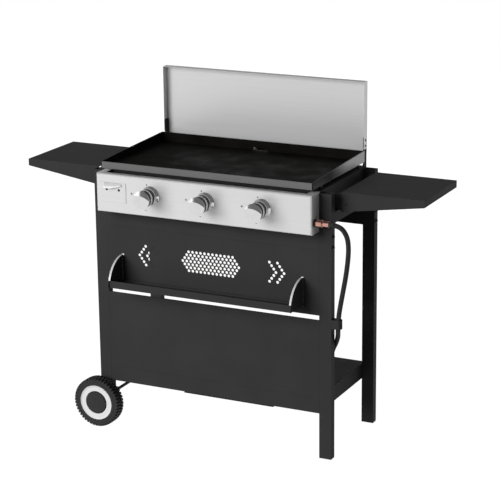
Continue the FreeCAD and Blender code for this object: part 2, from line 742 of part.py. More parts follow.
# Burner box: open on top, with a rim at both ends
box_y0 = front + box_in
box_y1 = rear - seat_gap
box_floor = box_low + seat_gap
box = cut(
    block(-inner, inner, box_y0, box_y1, box_floor, box_high),
    block(sheet_t - inner, inner - sheet_t, box_y0 + sheet_t, box_y1 - sheet_t, box_floor + sheet_t,
          box_high - sheet_t),
    block(box_rim - inner, inner - box_rim, box_y0 + sheet_t, box_y1 - sheet_t, box_high - 2 * sheet_t,
          box_high + through),
    *[rod(burner_radius + rest_gap, 4 * through, x, box_y0 - through, knob_height, "y") for x in knob_x],
)


# Rails of the grease cup, on the rear wall of the burner box: two angles that face each other
def cup_rail(side):
    rail_top = cup_high - sheet_t - rest_gap
    ledge = 10
    x0 = cup_half + 1.5 if side > 0 else -cup_half - 1.5 - ledge
    web_x = x0 + ledge - rail_t if side > 0 else x0
    y0 = box_y1 - sheet_t / 2
    y1 = rear + cup_back
    return fuse(
        block(x0, x0 + ledge, y0, y1, rail_top - rail_t, rail_top),
        block(web_x, web_x + rail_t, y0, y1, rail_top - rail_t, cup_high + 3),
    )


node("burner_box", fuse(box, cup_rail(1), cup_rail(-1)))


# Control panel: a folded stainless sheet with rounded front corners
def rounded(base, radius):
    """Round the upright and level edges of a box around its front face."""
    item = doc.addObject("Part::Fillet", "rounded")
    item.Base = base
    doc.recompute()
    nearest = base.Shape.BoundBox.YMin
    item.Edges = [
        (k, radius, radius)
        for k, edge in enumerate(base.Shape.Edges, 1)
        if edge.BoundBox.YMax - nearest < 1e-6
    ]
    return item


opener_x0 = opener_left - leg_in
opener_screw_x = (opener_x0 + 23, opener_x0 + 66)
opener_screw_z = opener_high - 22
console_back = box_y0 - seat_gap
corner = console_corner.value
skin = rounded(block(-inner, inner, console_y, console_back, box_low, box_high), corner)
hollow = rounded(
    block(sheet_t - inner, inner - sheet_t, console_y + sheet_t, console_back + 30, box_low + sheet_t,
          box_high - sheet_t),
    max(corner - sheet_t.value, sheet_t.value),
)
flange_cuts = [
    block(console_end_rim - inner, inner - console_end_rim, console_y + console_rim, console_back + through,
          z - 2 * through, z + 2 * through)
    for z in (box_low, box_high)
]
node("control_panel", cut(
    skin,
    hollow,
    *flange_cuts,
    *[rod(shaft_hole, 4 * through, x, console_y - through, knob_height, "y") for x in knob_x],
    *[rod(screw_hole, 4 * through, x, console_y - through, opener_screw_z, "y") for x in opener_screw_x],
    rod(manifold_radius + 1.6, 20, inner - 10, front - manifold_out, manifold_height, "x"),
))

# Bottle opener: a plate on the panel with a hooked lip
opener_x1 = opener_x0 + opener_width
opener_z0 = opener_high - opener_tall
opener_y = console_y - seat_gap - opener_t
hook = [
    (opener_x0 + 14, opener_high - 18), (opener_x0 + 40, opener_high - 21),
    (opener_x0 + 54, opener_high - 21), (opener_x0 + 76, opener_high - 8),
    (opener_x0 + 72, opener_high - 4), (opener_x0 + 14, opener_high - 2),
]
lip_front = opener_y - opener_reach
lip = cut(
    slab_y(hook, lip_front, opener_y + opener_t / 2),
    block(opener_x0 + 16, opener_x0 + 68, lip_front + 2, opener_y, opener_high - 30, opener_high - 7),
)
opener_plate = block(opener_x0, opener_x1, opener_y, opener_y + opener_t, opener_z0, opener_high)
node("bottle_opener", cut(
    fuse(opener_plate, lip),
    *[rod(screw_hole, 2 * through, x, opener_y - through / 2, opener_screw_z, "y") for x in opener_screw_x],
))

# Small screws: on the opener plate, and through the wind guard into its brackets
guard_y0 = rear + guard_back - guard_depth
guard_y1 = rear + guard_back
guard_screw_y = guard_y0 + 12
guard_screw_z = (guard_low + 10, guard_low + 28)


def small_screw(x, y, z, turn, shank):
    head = turned([(0, 0), (0, 4), (1.2, 3.4), (1.9, 1.5), (1.9, 0)])
    screw = group(fuse(head, rod(screw_radius, shank, 0.0, -shank, 0.0, "y")))
    screw.Placement = FreeCAD.Placement(Vector(), FreeCAD.Rotation(turn_up, turn))
    place(screw, x, y, z)
    return screw


opener_screws = [
    small_screw(x, opener_y, opener_screw_z, 180, opener_t + seat_gap + sheet_t + 2)
    for x in opener_screw_x
]
guard_screws = [
    small_screw(guard_half * side, guard_screw_y, z, -90 * side, sheet_t + seat_gap + bracket_t + 2)
    for side in (1, -1)
    for z in guard_screw_z
]
node("sheet_screws", group(*opener_screws, *guard_screws))

# Wind guard: stainless sheet with folded sides and top
node("wind_guard", cut(
    block(-guard_half, guard_half, guard_y0, guard_y1, guard_low, guard_high),
    block(sheet_t - guard_half, guard_half - sheet_t, guard_y0 - through, guard_y1 - sheet_t,
          guard_low - through, guard_high - sheet_t),
    *[rod(screw_hole, 2 * through, x - through, guard_screw_y, z, "x")
      for x in (guard_half, -guard_half) for z in guard_screw_z],
))


# Brackets that carry the wind guard on the rear wall of the burner box
def guard_bracket(name, side):
    foot_y = box_y1 + seat_gap
    back_y = guard_y1 - sheet_t - rest_gap
    low = box_high - bracket_low
    high = guard_low + bracket_high
    points = [
        (foot_y, low), (back_y, low), (back_y, high), (guard_y0 + 1, high), (guard_y0 + 1, box_high + 4),
        (foot_y, box_high - 4),
    ]
    outside = guard_half - sheet_t - seat_gap
    x0 = outside - bracket_t if side > 0 else -outside
    toe_x = x0 - bracket_toe if side > 0 else x0
    toe = block(toe_x, toe_x + bracket_t + bracket_toe, foot_y, foot_y + bracket_t, low, box_high - 4)
    across = bracket_t + 2 * through
    bores = [rod(screw_hole, across, x0 - through, guard_screw_y, z, "x") for z in guard_screw_z]
    node(name, cut(fuse(slab_x(points, x0, x0 + bracket_t), toe), *bores))


guard_bracket("guard_bracket_right", 1)
guard_bracket("guard_bracket_left", -1)

# Griddle plate: thick floor, low front lip, side walls that rise towards the rear
plate_half = leg_in - plate_over
plate_y0 = front - plate_out
plate_y1 = rear + plate_back
cook_z = plate_base + plate_t
outlet_top = cook_z + outlet_high
plate_outline = [
    (plate_y0, plate_base), (plate_y1, plate_base), (plate_y1, plate_rear), (mid_y - plate_bend, plate_step),
    (plate_y0, plate_lip),
]
plate = cut(
    slab_x(plate_outline, -plate_half, plate_half),
    block(plate_wall - plate_half, plate_half - plate_wall, plate_y0 + plate_wall, plate_y1 - plate_wall,
          cook_z, plate_rear + through),
    block(-outlet_half, outlet_half, plate_y1 - 2 * plate_wall, plate_y1 + through, cook_z, outlet_top),
)

# Grease spout behind the outlet: a sloping trough
spout_y = rear + spout_reach
spout_low = plate_base - spout_drop
spout = cut(
    slab_x([
        (plate_y1, plate_base), (spout_y, spout_low), (spout_y, spout_low + 12), (plate_y1, outlet_top - 1),
    ], -outlet_half - spout_wall, outlet_half + spout_wall),
    slab_x([
        (plate_y1 - through, cook_z), (spout_y + through, spout_low + spout_wall),
        (spout_y + through, cook_z + 2 * outlet_high), (plate_y1 - through, cook_z + 2 * outlet_high),
    ], -outlet_half, outlet_half),
)
node("griddle_plate", fuse(plate, spout))

node("griddle_feet", group(*[
    rod(foot_screw, plate_base - box_high - rest_gap, (leg_in - plate_feet_x) * side, y, box_high + rest_gap)
    for side in (1, -1)
    for y in (front + plate_feet_y, rear - plate_feet_y)
]))

# Grease cup, hanging on its rails
cup_y0 = rear + cup_front
cup_y1 = rear + cup_back
cup_outside = fuse(
    block(-cup_half, cup_half, cup_y0, cup_y1, cup_low, cup_high),
    block(-cup_half - cup_rim, cup_half + cup_rim, cup_y0, cup_y1, cup_high - sheet_t, cup_high),
)
cup_inside = block(
    sheet_t - cup_half, cup_half - sheet_t, cup_y0 + sheet_t, cup_y1 - sheet_t, cup_low + sheet_t,
    cup_high + through,
)
node("grease_cup", cut(cup_outside, cup_inside))

# Burners: an H of steel tube fed by a mixing tube that reaches out to the valve
tube_front = front + burner_front
tube_back = rear - burner_back
venturi_y = box_y0 - venturi_out


def port_drills(x):
    """The rows of gas ports on top of the two tubes of a burner."""
    first = number(tube_front) + 20
    last = number(tube_back) - 20
    count = int(port_count.value)
    top = number(knob_height + burner_radius)
    return fixed(Part.makeCompound([
        Part.makeCylinder(port_radius.value, 6, Vector(number(x + burner_half * side), y, top - 3))
        for side in (1, -1)
        for y in [first + (last - first) * k / (count - 1) for k in range(count)]
    ]))


def burner(x):
    tubes = [
        rod(burner_radius, tube_back - tube_front, x + burner_half * side, tube_front, knob_height, "y")
        for side in (1, -1)
    ]
    bridge = rod(burner_radius, 2 * burner_half, x - burner_half, mid_y, knob_height, "x")
    mixer = rod(burner_radius, mid_y - venturi_y, x, venturi_y, knob_height, "y")
    throat = rod(burner_radius - sheet_t, 60, x, venturi_y - through, knob_height, "y")
    return cut(fuse(*tubes, bridge, mixer), throat, port_drills(x))


node("burners", group(*[burner(x) for x in knob_x]))


# Ignition electrodes: a ceramic post with a wire tip beside each burner tube
def electrode(x):
    post_x = x + burner_half + burner_radius + 7
    post_y = mid_y - 80
    post_z = box_floor + sheet_t + seat_gap
    return fuse(
        rod(post_radius, knob_height - 4 - post_z, post_x, post_y, post_z),
        rod(wire_radius, 20, post_x, post_y, knob_height - 6),
    )


node("electrodes", group(*[electrode(x) for x in knob_x]))

# Gas manifold along the back of the control panel
manifold_y = front - manifold_out
manifold_start = knob_x[0] - manifold_left
fitting_x = leg_in + bush_length + 1
manifold_run = fitting_x - manifold_start
node("gas_manifold", cut(
    rod(manifold_radius, manifold_run, manifold_start, manifold_y, manifold_height, "x"),
    rod(manifold_radius - manifold_wall, manifold_run, manifold_start + 2 * manifold_wall, manifold_y,
        manifold_height, "x"),
))

# Knob stack, from the panel outwards
bezel_y = console_y - seat_gap
knob_back = bezel_y - bezel_depth - knob_gap
knob_face = knob_back - knob_depth
shaft_tip = knob_face + shaft_inset
valve_y = console_y + sheet_t + 1
knob_bore = shaft_radius + running_gap


# Valves: brass bodies that saddle the manifold and point into the burners
def valve(x):
    grip = manifold_radius + 1
    body = rod(shaft_hole - 1, 46, x, valve_y, knob_height, "y")
    saddle = block(x - grip, x + grip, manifold_y - grip, manifold_y + grip, manifold_height, knob_height)
    nozzle = rod(nozzle_radius, venturi_y + nozzle_in - valve_y, x, valve_y, knob_height, "y")
    seat = rod(manifold_radius + seat_gap / 2, 4 * grip, x - 2 * grip, manifold_y, manifold_height, "x")
    bore = rod(knob_bore, 32, x, valve_y - through, knob_height, "y")
    return cut(fuse(body, saddle, nozzle), seat, bore)


node("valves", group(*[valve(x) for x in knob_x]))


# Bezels, shafts, knobs and chromed caps
def bezel(x):
    return turned([
        (0, shaft_hole - 2), (0, bezel_radius), (-1.2, bezel_radius), (2 - bezel_depth, bezel_radius - 3.6),
        (-bezel_depth, bezel_radius - 4.6), (-bezel_depth, shaft_hole - 2),
    ], x, bezel_y, knob_height)


def knob(x):
    groove = knob_radius - 1.2
    blind = shaft_inset - rest_gap - knob_depth
    return turned([
        (0, knob_bore), (0, knob_radius - 1), (-1, knob_radius), (-16, knob_radius), (-17, groove),
        (-20, groove), (-21, knob_radius), (1 - knob_depth, knob_radius - 0.6),
        (-knob_depth, knob_radius - 1.6), (-knob_depth, 0), (blind, 0), (blind, knob_bore),
    ], x, knob_back, knob_height)


def knob_cap(x):
    edge = knob_cap_radius
    return turned([
        (-0.05, 0), (-0.05, edge - 1), (-1, edge), (-2, edge - 0.4), (0.8 - knob_cap_t, edge - 2.4),
        (-knob_cap_t, edge * 0.55), (-0.4 - knob_cap_t, 0),
    ], x, knob_face, knob_height)


node("knob_bezels", group(*[bezel(x) for x in knob_x]))
for number_on_panel, x in enumerate(knob_x, 1):
    shaft = rod(shaft_radius, valve_y + 24 - shaft_tip, x, shaft_tip, knob_height, "y")
    node(f"shaft_{number_on_panel}", shaft)
    node(f"knob_{number_on_panel}", knob(x))
    node(f"knob_cap_{number_on_panel}", knob_cap(x))

# Axle rod through the left legs, with a push nut on each end
axle_half = wheel_face - axle_inset
nut_y = axle_half - seat_gap
node("axle", rod(axle_radius, 2 * axle_half, axle_x, mid_y - axle_half, wheel_radius, "y"))
node("axle_nuts", group(*[
    cut(
        rod(nut_radius, nut_t, axle_x, y, wheel_radius, "y"),
        rod(axle_radius, nut_t + 2 * through, axle_x, y - through, wheel_radius, "y"),
    )
    for y in (mid_y - nut_y, mid_y + nut_y - nut_t)
]))


# Wheels, outlined inwards from the outer face of the tyre
def wheel(tag, side):
    hub_bore = axle_radius + running_gap
    hub_start = axle_inset + seat_gap + nut_t + rest_gap
    hub_end = wheel_face - leg_span_y / 2 - 2 * seat_gap
    pocket = cap_radius + rest_gap
    nut_room = nut_radius + 0.4
    clear = rim_radius - seat_gap / 2
    side_wall = wheel_radius - tyre_shoulder - 0.5

    def set_up(body):
        body.Placement = FreeCAD.Placement(Vector(), FreeCAD.Rotation(turn_up, 0 if side < 0 else 180))
        place(body, axle_x, mid_y + wheel_face * side, wheel_radius)
        return body

    tyre = set_up(turned([
        (0, rim_radius + 1), (1.5, rim_radius), (wheel_width - 1.5, rim_radius),
        (wheel_width, rim_radius + 1), (wheel_width, side_wall), (wheel_width - tyre_shoulder, wheel_radius),
        (tyre_shoulder, wheel_radius), (0, side_wall),
    ]))
    groove = tyre.newObject("PartDesign::Pocket", "groove")
    groove_low = wheel_radius - tread_depth
    groove.Profile = outline(tyre, "XZ_Plane", [
        (-tread_width * 0.44, groove_low), (tread_width * 0.44, groove_low),
        (tread_width * 0.56, wheel_radius + through), (-tread_width * 0.56, wheel_radius + through),
    ])
    groove.Type = "Length"
    bind(groove, "Length", wheel_width + through)
    doc.recompute()
    tread = tyre.newObject("PartDesign::PolarPattern", "tread")
    tread.Originals = [groove]
    tread.Axis = (plane(tyre, "Y_Axis"), [""])
    tread.Angle = 360
    tread.Occurrences = int(tread_count.value)
    tyre.Tip = tread
    node(f"tyre_{tag}", tyre)

    node(f"wheel_rim_{tag}", set_up(turned([
        (hub_start, hub_bore), (hub_end, hub_bore), (hub_end, hub_radius), (26, hub_radius),
        (26, clear - rim_ring), (wheel_width - 2, clear - rim_ring), (wheel_width - 2, clear), (1.2, clear),
        (1.2, clear - 2), (3, clear - 4), (2.4, pocket), (hub_start + 1, pocket), (hub_start + 1, nut_room),
        (hub_start, nut_room),
    ])))

    node(f"hub_cap_{tag}", set_up(turned([
        (-cap_bulge, 0), (0.4 - cap_bulge, cap_radius * 0.55), (1.6 - cap_bulge, cap_radius - 1),
        (1, cap_radius), (hub_start + 0.9, cap_radius), (hub_start + 0.9, cap_radius - 2),
        (1.2, cap_radius - 2), (1.2, 0),
    ])))


wheel("front", -1)
wheel("rear", 1)

# Gas inlet beside the control panel: a bush round the pipe, then two hexagons with a neck between them
bush_bore = manifold_radius + seat_gap / 2
node("inlet_bush", cut(
    rod(bush_radius, bush_length, inner + seat_gap / 2, manifold_y, manifold_height, "x"),
    rod(bush_bore, bush_length + 2 * through, inner - through, manifold_y, manifold_height, "x"),
))
neck_x = fitting_x + hex_length
node("inlet_fitting", fuse(
    hexagon(hex_large, hex_length, fitting_x, manifold_y, manifold_height),
    rod(neck_radius, neck_length + 1, neck_x - 0.5, manifold_y, manifold_height, "x"),
    hexagon(hex_small, hex_length, neck_x + neck_length, manifold_y, manifold_height),
))


# A round tube on straight runs joined by arcs
def run_edges(points):
    """The edges of a route and the radii of its arcs."""
    edges = []
    radii = []
    here = points[0]
    for before, bend, after in zip(points, points[1:], points[2:]):
        a = (bend - before).normalize()
        b = (after - bend).normalize()
        turn = a.getAngle(b)
        setback = 0.45 * min((bend - before).Length, (after - bend).Length)
        radius = setback / math.tan(turn / 2)
        centre = bend + (b - a).normalize() * (radius / math.cos(turn / 2))
        start = bend - a * setback
        end = bend + b * setback
        edges.append(Part.LineSegment(here, start).toShape())
        edges.append(Part.Arc(start, centre - (b - a).normalize() * radius, end).toShape())
        radii.append(radius)
        here = end
    edges.append(Part.LineSegment(here, points[-1]).toShape())
    return edges, radii


def tube(name, edges):
    """Sweep the hose's section along its edges, and print its length and how full its volume is."""
    start = edges[0].valueAt(edges[0].FirstParameter)
    heading = edges[0].tangentAt(edges[0].FirstParameter)
    shell = Part.BRepOffsetAPI.MakePipeShell(Part.Wire(edges))
    shell.add(Part.Wire([Part.Circle(start, heading, hose_radius.value).toShape()]))
    shell.build()
    shell.makeSolid()
    length = sum(edge.Length for edge in edges)
    full = shell.shape().Volume / (math.pi * hose_radius.value ** 2 * length)
    print(name, "length", round(length, 1), "volume ratio", round(full, 4))
    node(name, fixed(shell.shape()))
    return length


# Free hose: out of the fitting, down beside the right leg, through the clip, behind the leg, onto the shelf
manifold_at = Vector(number(neck_x + neck_length + hex_length), number(manifold_y), number(manifold_height))
lay_z = number(floor_top + hose_radius + rest_gap)
leg_corner = Vector(number(leg_out), number(front), 0)
coil_x = number(tray_right + coil_out)
coil_y = number(front + coil_in)
coil_start = Vector(coil_x, coil_y - coil_radius.value, lay_z)
lead = Vector(2 * hose_radius.value, 0, 0)
tail = Vector(0, 2 * hose_radius.value, 0)


def by_leg(right, back, z):
    """A point measured from the outer front edge of the right front leg."""
    return leg_corner + Vector(right, back, z)


hose_points = [
    manifold_at,
    Vector(number(leg_out) + 39, manifold_at.y, manifold_at.z),
    by_leg(60, -25, 729),
    by_leg(63, -17, 690),
    by_leg(57, -10, 640),
    by_leg(47, -3, 588),
    by_leg(35, 3, 536),
    by_leg(26.5, 7, 498),
    by_leg(20, 9.5, 464),
    by_leg(15.5, 14.5, 418),
    by_leg(10.5, 27.5, 392),
    by_leg(-1, 39, 367),
    by_leg(-15, 43, 341),
    by_leg(-20, 42, 312),
    by_leg(-21, 39.5, 284),
    by_leg(-22, 38, 256),
    coil_start + Vector(84.5, 5.5, 26.5),
    coil_start + Vector(66, 2.5, 9),
    coil_start + Vector(42, 0, 0),
    coil_start + lead,
]
hose_edges, hose_radii = run_edges(hose_points)
hose_length = tube("gas_hose", hose_edges)
print("hose radii", [round(r) for r in hose_radii])

# Coil: one and a quarter turns on the shelf, the last quarter on top of the first, then into the regulator
regulator_z = number(floor_top + rest_gap + regulator_half)
quarter_turns = [k * math.pi / 2 for k in range(6)]


def coil_place(turned_by):
    """A point of the coil's middle line: it starts in front and runs clockwise seen from above."""
    angle = -math.pi / 2 - turned_by
    share = min(max((turned_by - math.pi / 2) / (1.25 * math.pi), 0), 1)
    rise = (regulator_z - lay_z) * share * share * (3 - 2 * share)
    reach = coil_radius.value
    return Vector(coil_x + reach * math.cos(angle), coil_y + reach * math.sin(angle), lay_z + rise)


def coil_heading(turned_by):
    step = 1e-4
    return (coil_place(turned_by + step) - coil_place(turned_by - step)).normalize()


def arc_from(p, apex, q):
    """The arc from p to q whose end tangents meet at the apex."""
    middle = (p + q) * 0.5
    half = (q - p).Length / 2
    rise = apex - middle
    slope = math.atan2(rise.Length, half)
    return Part.Arc(p, middle + rise.normalize() * (half * math.tan(slope / 2)), q).toShape()


def biarc(p, t, q, s):
    """Two arcs with a common tangent, from point p with heading t to point q with heading s."""
    span = q - p
    square = 2 * (1 - t.dot(s))
    along = span.dot(t + s)
    reach = (math.sqrt(along * along + square * span.dot(span)) - along) / square
    a = p + t * reach
    b = q - s * reach
    return [arc_from(p, a, (a + b) * 0.5), arc_from((a + b) * 0.5, b, q)]


coil_end = coil_place(quarter_turns[-1])
headings = [-Vector(1, 0, 0)] + [coil_heading(t) for t in quarter_turns[1:-1]] + [Vector(0, 1, 0)]
coil_edges = [Part.LineSegment(coil_start + lead, coil_start).toShape()]
for t0, t1, h0, h1 in zip(quarter_turns, quarter_turns[1:], headings, headings[1:]):
    coil_edges += biarc(coil_place(t0), h0, coil_place(t1), h1)
coil_edges.append(Part.LineSegment(coil_end, coil_end + tail).toShape())
coil_length = tube("hose_coil", coil_edges)
print("whole hose", round(hose_length + coil_length))


def least_gap(edges, radius):
    """The least gap of a wound tube to itself, measured on points of its middle line."""
    spots = []
    travelled = 0
    for edge in edges:
        steps = max(int(edge.Length / 4), 2)
        for k in range(steps):
            share = k / steps
            at = edge.FirstParameter + (edge.LastParameter - edge.FirstParameter) * share
            spots.append((travelled + edge.Length * share, edge.valueAt(at)))
        travelled += edge.Length
    far = 12 * radius
    gaps = [(p - q).Length for i, (a, p) in enumerate(spots) for b, q in spots[i:] if b - a > far]
    return min(gaps) - 2 * radius


print("coil gap to itself", round(least_gap(coil_edges, hose_radius.value), 2))

# Regulator at the end of the coil, lying on the shelf, with a coupling nut that turns on its stub
regulator_x = tray_right + coil_out - coil_radius
regulator_y = front + coil_in + 2 * hose_radius
regulator_mid = regulator_y + regulator_inlet
coupling_y = regulator_mid + regulator_radius + 6
coupling_length = 24
inlet_length = regulator_inlet - regulator_radius / 2
stub_length = coupling_y + coupling_length + 2 - regulator_mid
nut_bore = stub_radius + running_gap
floor_z = floor_top + rest_gap
axis_z = floor_z + regulator_half
node("regulator", fuse(
    rod(regulator_radius, 2 * regulator_half, regulator_x, regulator_mid, floor_z),
    rod(regulator_radius * 0.7, 6, regulator_x, regulator_mid, axis_z + regulator_half - 1),
    rod(hose_radius + 1, inlet_length, regulator_x, regulator_y, axis_z, "y"),
    rod(stub_radius, stub_length, regulator_x, regulator_mid, axis_z, "y"),
))
node("regulator_nut", cut(
    rod(coupling_radius, coupling_length, regulator_x, coupling_y, axis_z, "y"),
    rod(nut_bore, coupling_length + 2 * through, regulator_x, coupling_y - through, axis_z, "y"),
))

# Clip that holds the hose to the right front leg: a loop on two strips and a foot
clip_x = leg_out + clip_out
clip_y = front + clip_in
clip_high = clip_low + clip_tall
clip_foot = leg_out + seat_gap / 2
loop = clip_bore + clip_t
strips = [
    block(clip_foot, clip_x, y, y + clip_t, clip_low, clip_high)
    for y in (clip_y - loop, clip_y + clip_bore)
]
node("hose_clip", cut(
    fuse(
        rod(loop, clip_tall, clip_x, clip_y, clip_low),
        block(clip_foot, clip_foot + clip_t, clip_y - loop, clip_y + loop, clip_low, clip_high),
        *strips,
    ),
    rod(clip_bore, clip_tall + 2 * through, clip_x, clip_y, clip_low - through),
))

doc.recompute()
for item in doc.Objects:
    if "Invalid" in item.State or "Error" in item.State:
        raise RuntimeError(f"{item.Name} ({item.Label}) failed: {item.State}")
for item in nodes:
    if item.Shape.isNull() or not item.Shape.isValid():
        raise RuntimeError(f"{item.Label} has no valid shape")
for item in nodes:
    item.Shape.exportStep(f"parts/{item.Label}.step")
print(len(nodes), "nodes")
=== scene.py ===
"""Looks of the gas griddle station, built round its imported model.

Lengths are millimetres in the model's frame, and build() and lay_hose() turn them into metres. The camera,
the lamps, the floor and the coordinates that a shader reads are in metres.
"""
import json
import math

import bmesh
import bpy
import numpy as np
from mathutils import Matrix, Vector

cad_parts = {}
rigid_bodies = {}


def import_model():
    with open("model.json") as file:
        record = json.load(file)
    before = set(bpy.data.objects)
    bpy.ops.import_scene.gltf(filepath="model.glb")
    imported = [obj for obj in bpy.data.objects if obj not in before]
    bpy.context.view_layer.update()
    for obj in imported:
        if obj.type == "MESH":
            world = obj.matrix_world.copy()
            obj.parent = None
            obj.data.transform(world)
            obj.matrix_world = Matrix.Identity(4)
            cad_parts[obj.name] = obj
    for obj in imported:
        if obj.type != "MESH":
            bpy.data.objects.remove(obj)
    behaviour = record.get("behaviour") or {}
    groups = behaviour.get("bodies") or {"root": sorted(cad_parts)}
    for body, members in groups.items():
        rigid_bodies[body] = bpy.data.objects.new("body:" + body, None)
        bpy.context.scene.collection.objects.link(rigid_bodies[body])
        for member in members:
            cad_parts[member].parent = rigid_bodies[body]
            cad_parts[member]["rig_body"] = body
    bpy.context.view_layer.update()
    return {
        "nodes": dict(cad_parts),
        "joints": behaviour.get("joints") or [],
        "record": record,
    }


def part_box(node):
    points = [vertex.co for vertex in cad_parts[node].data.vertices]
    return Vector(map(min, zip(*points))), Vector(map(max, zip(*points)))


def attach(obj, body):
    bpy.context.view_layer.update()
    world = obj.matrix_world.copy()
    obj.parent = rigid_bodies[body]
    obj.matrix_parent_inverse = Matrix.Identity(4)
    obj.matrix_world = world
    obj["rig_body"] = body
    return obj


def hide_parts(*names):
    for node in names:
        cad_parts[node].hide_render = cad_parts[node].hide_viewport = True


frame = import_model()
nodes = frame["nodes"]
slot_of = {row["node"]: row["material_slot"] for row in frame["record"]["subparts"]}
MM = 0.001


# Places read from the frame, to a tenth of a millimetre
def low_corner(node):
    return np.round(np.array(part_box(node)[0]) / MM, 1)


def high_corner(node):
    return np.round(np.array(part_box(node)[1]) / MM, 1)


def axis_of(joint):
    """The point that a joint's axis passes through."""
    place = next(row["pos_m"] for row in frame["joints"] if row["name"] == joint)
    return np.round(np.array(place) / MM, 1)


LEG_OUT = high_corner("leg_front_right")[0]
LEG_FRONT = low_corner("leg_front_right")[1]
LEG_REAR = high_corner("leg_rear_right")[1]
CONSOLE_FACE = low_corner("control_panel")[1]
KNOB_X = [axis_of(f"knob_{number}_turn")[0] for number in (1, 2, 3)]
KNOB_Z = axis_of("knob_1_turn")[2]
KNOB_BACK = high_corner("knob_1")[1]
KNOB_FACE = low_corner("knob_1")[1]
AXLE_X, _, WHEEL_RADIUS = axis_of("wheel_front_spin")
WHEEL_FACES = {"front": low_corner("tyre_front")[1], "rear": high_corner("tyre_rear")[1]}
RACK_HINGE = axis_of("spice_rack_fold")
REGULATOR_AXIS = axis_of("regulator_nut_spin")[[0, 2]]
SHEET_METAL = 1.2

# The hose and its put-away coil
HOSE_RADIUS = 7.5
HOSE_EXIT = np.array([412.0, -183.0, 757.0])
COIL_START = np.array([288.0, -121.0, 205.8])
COIL_MIDDLE = np.array([288.0, -61.0])
COIL_RADIUS = 60.0

# Camera at the photograph's angle: azimuth, elevation and roll in degrees, focal length and centre in pixels
CAMERA_TURN = (25.846, 15.882, -0.534)
CAMERA_PLACE = (2.47567, -4.90585, 2.16215)
FOCAL_PIXELS = 1818.02
CENTRE_PIXEL = (260.815, 245.017)
PHOTO_SIZE = 500
SENSOR_WIDTH = 36


def place_camera():
    azimuth, elevation, roll = (math.radians(degrees) for degrees in CAMERA_TURN)
    back = Vector((
        math.sin(azimuth) * math.cos(elevation),
        -math.cos(azimuth) * math.cos(elevation),
        math.sin(elevation),
    ))
    right = Vector((math.cos(azimuth), math.sin(azimuth), 0))
    up = back.cross(right)
    rolled_right = right * math.cos(roll) + up * math.sin(roll)
    rolled_up = up * math.cos(roll) - right * math.sin(roll)
    data = bpy.data.cameras.new("camera")
    data.sensor_width = SENSOR_WIDTH
    data.lens = FOCAL_PIXELS * SENSOR_WIDTH / PHOTO_SIZE
    data.shift_x = (PHOTO_SIZE / 2 - CENTRE_PIXEL[0]) / PHOTO_SIZE
    data.shift_y = (CENTRE_PIXEL[1] - PHOTO_SIZE / 2) / PHOTO_SIZE
    data.clip_end = 200
    camera = bpy.data.objects.new("camera", data)
    bpy.context.scene.collection.objects.link(camera)
    turn = Matrix((rolled_right, rolled_up, back)).transposed().to_4x4()
    camera.matrix_world = Matrix.Translation(Vector(CAMERA_PLACE)) @ turn
    bpy.context.scene.camera = camera


place_camera()


# Shader trees
def shader(tree, kind, links=None, **settings):
    """A node of a material, with its settings, and its sockets given as values or as other sockets."""
    item = tree.nodes.new("ShaderNode" + kind)
    for key, value in settings.items():
        setattr(item, key, value)
    for key, value in (links or {}).items():
        if isinstance(value, bpy.types.NodeSocket):
            tree.links.new(value, item.inputs[key])
        else:
            item.inputs[key].default_value = value
    return item


def grey(tone):
    """A colour from one grey tone, or from its three parts."""
    return (tone, tone, tone, 1.0) if isinstance(tone, (int, float)) else (*tone, 1.0)


def blank(name):
    """A new material with its tree and its main shader."""
    material = bpy.data.materials.new(name)
    material.use_nodes = True
    tree = material.node_tree
    return material, tree, tree.nodes["Principled BSDF"]


def speckle(tree, scale, detail=3.0, stretch=(1.0, 1.0, 1.0)):
    """Noise on the piece's own coordinates, stretched along an axis where stretch is below 1."""
    place = shader(tree, "TexCoord").outputs["Object"]
    if stretch != (1.0, 1.0, 1.0):
        place = shader(tree, "Mapping", {"Vector": place, "Scale": stretch}).outputs["Vector"]
    return shader(tree, "TexNoise", {"Vector": place, "Scale": scale, "Detail": detail}).outputs["Fac"]


def between(tree, amount, low, high, start=0.3, end=0.7):
    """Runs from low, where amount is at start, to high, where it is at end."""
    links = {"Value": amount, "From Min": start, "From Max": end, "To Min": low, "To Max": high}
    return shader(tree, "MapRange", links).outputs["Result"]


def two_tones(tree, amount, dark, light, start=0.3, end=0.7):
    """A colour that runs the same way between two tones, each a grey, three parts or a socket."""
    share = between(tree, amount, 0.0, 1.0, start, end)
    mix = shader(tree, "Mix", data_type="RGBA")
    tree.links.new(share, mix.inputs["Factor"])
    for socket, tone in ((mix.inputs[6], dark), (mix.inputs[7], light)):
        if isinstance(tone, bpy.types.NodeSocket):
            tree.links.new(tone, socket)
        else:
            socket.default_value = grey(tone)
    return mix.outputs[2]


def finish(name, dark, light, smooth, rough, cloud=10.0, grain=900.0, relief=0.02, metallic=0.0,
           specular=0.5, stretch=(1.0, 1.0, 1.0)):
    """A finish whose tone and roughness drift over the piece, with a fine raised grain (relief in mm)."""
    material, tree, skin = blank(name)
    drift = speckle(tree, cloud, 4.0, stretch)
    tree.links.new(two_tones(tree, drift, dark, light), skin.inputs["Base Color"])
    tree.links.new(between(tree, drift, smooth, rough), skin.inputs["Roughness"])
    bump = shader(tree, "Bump", {"Height": speckle(tree, grain, 2.0, stretch), "Distance": relief * MM})
    tree.links.new(bump.outputs["Normal"], skin.inputs["Normal"])
    skin.inputs["Metallic"].default_value = metallic
    skin.inputs["Specular IOR Level"].default_value = specular
    return material


# Where the cooking plate is seasoned, in metres: within its walls and above its underside
SEASONED_SIDE = 0.3562
SEASONED_FRONT = -0.1807
SEASONED_REAR = 0.2092
SEASONED_ABOVE = 0.8585

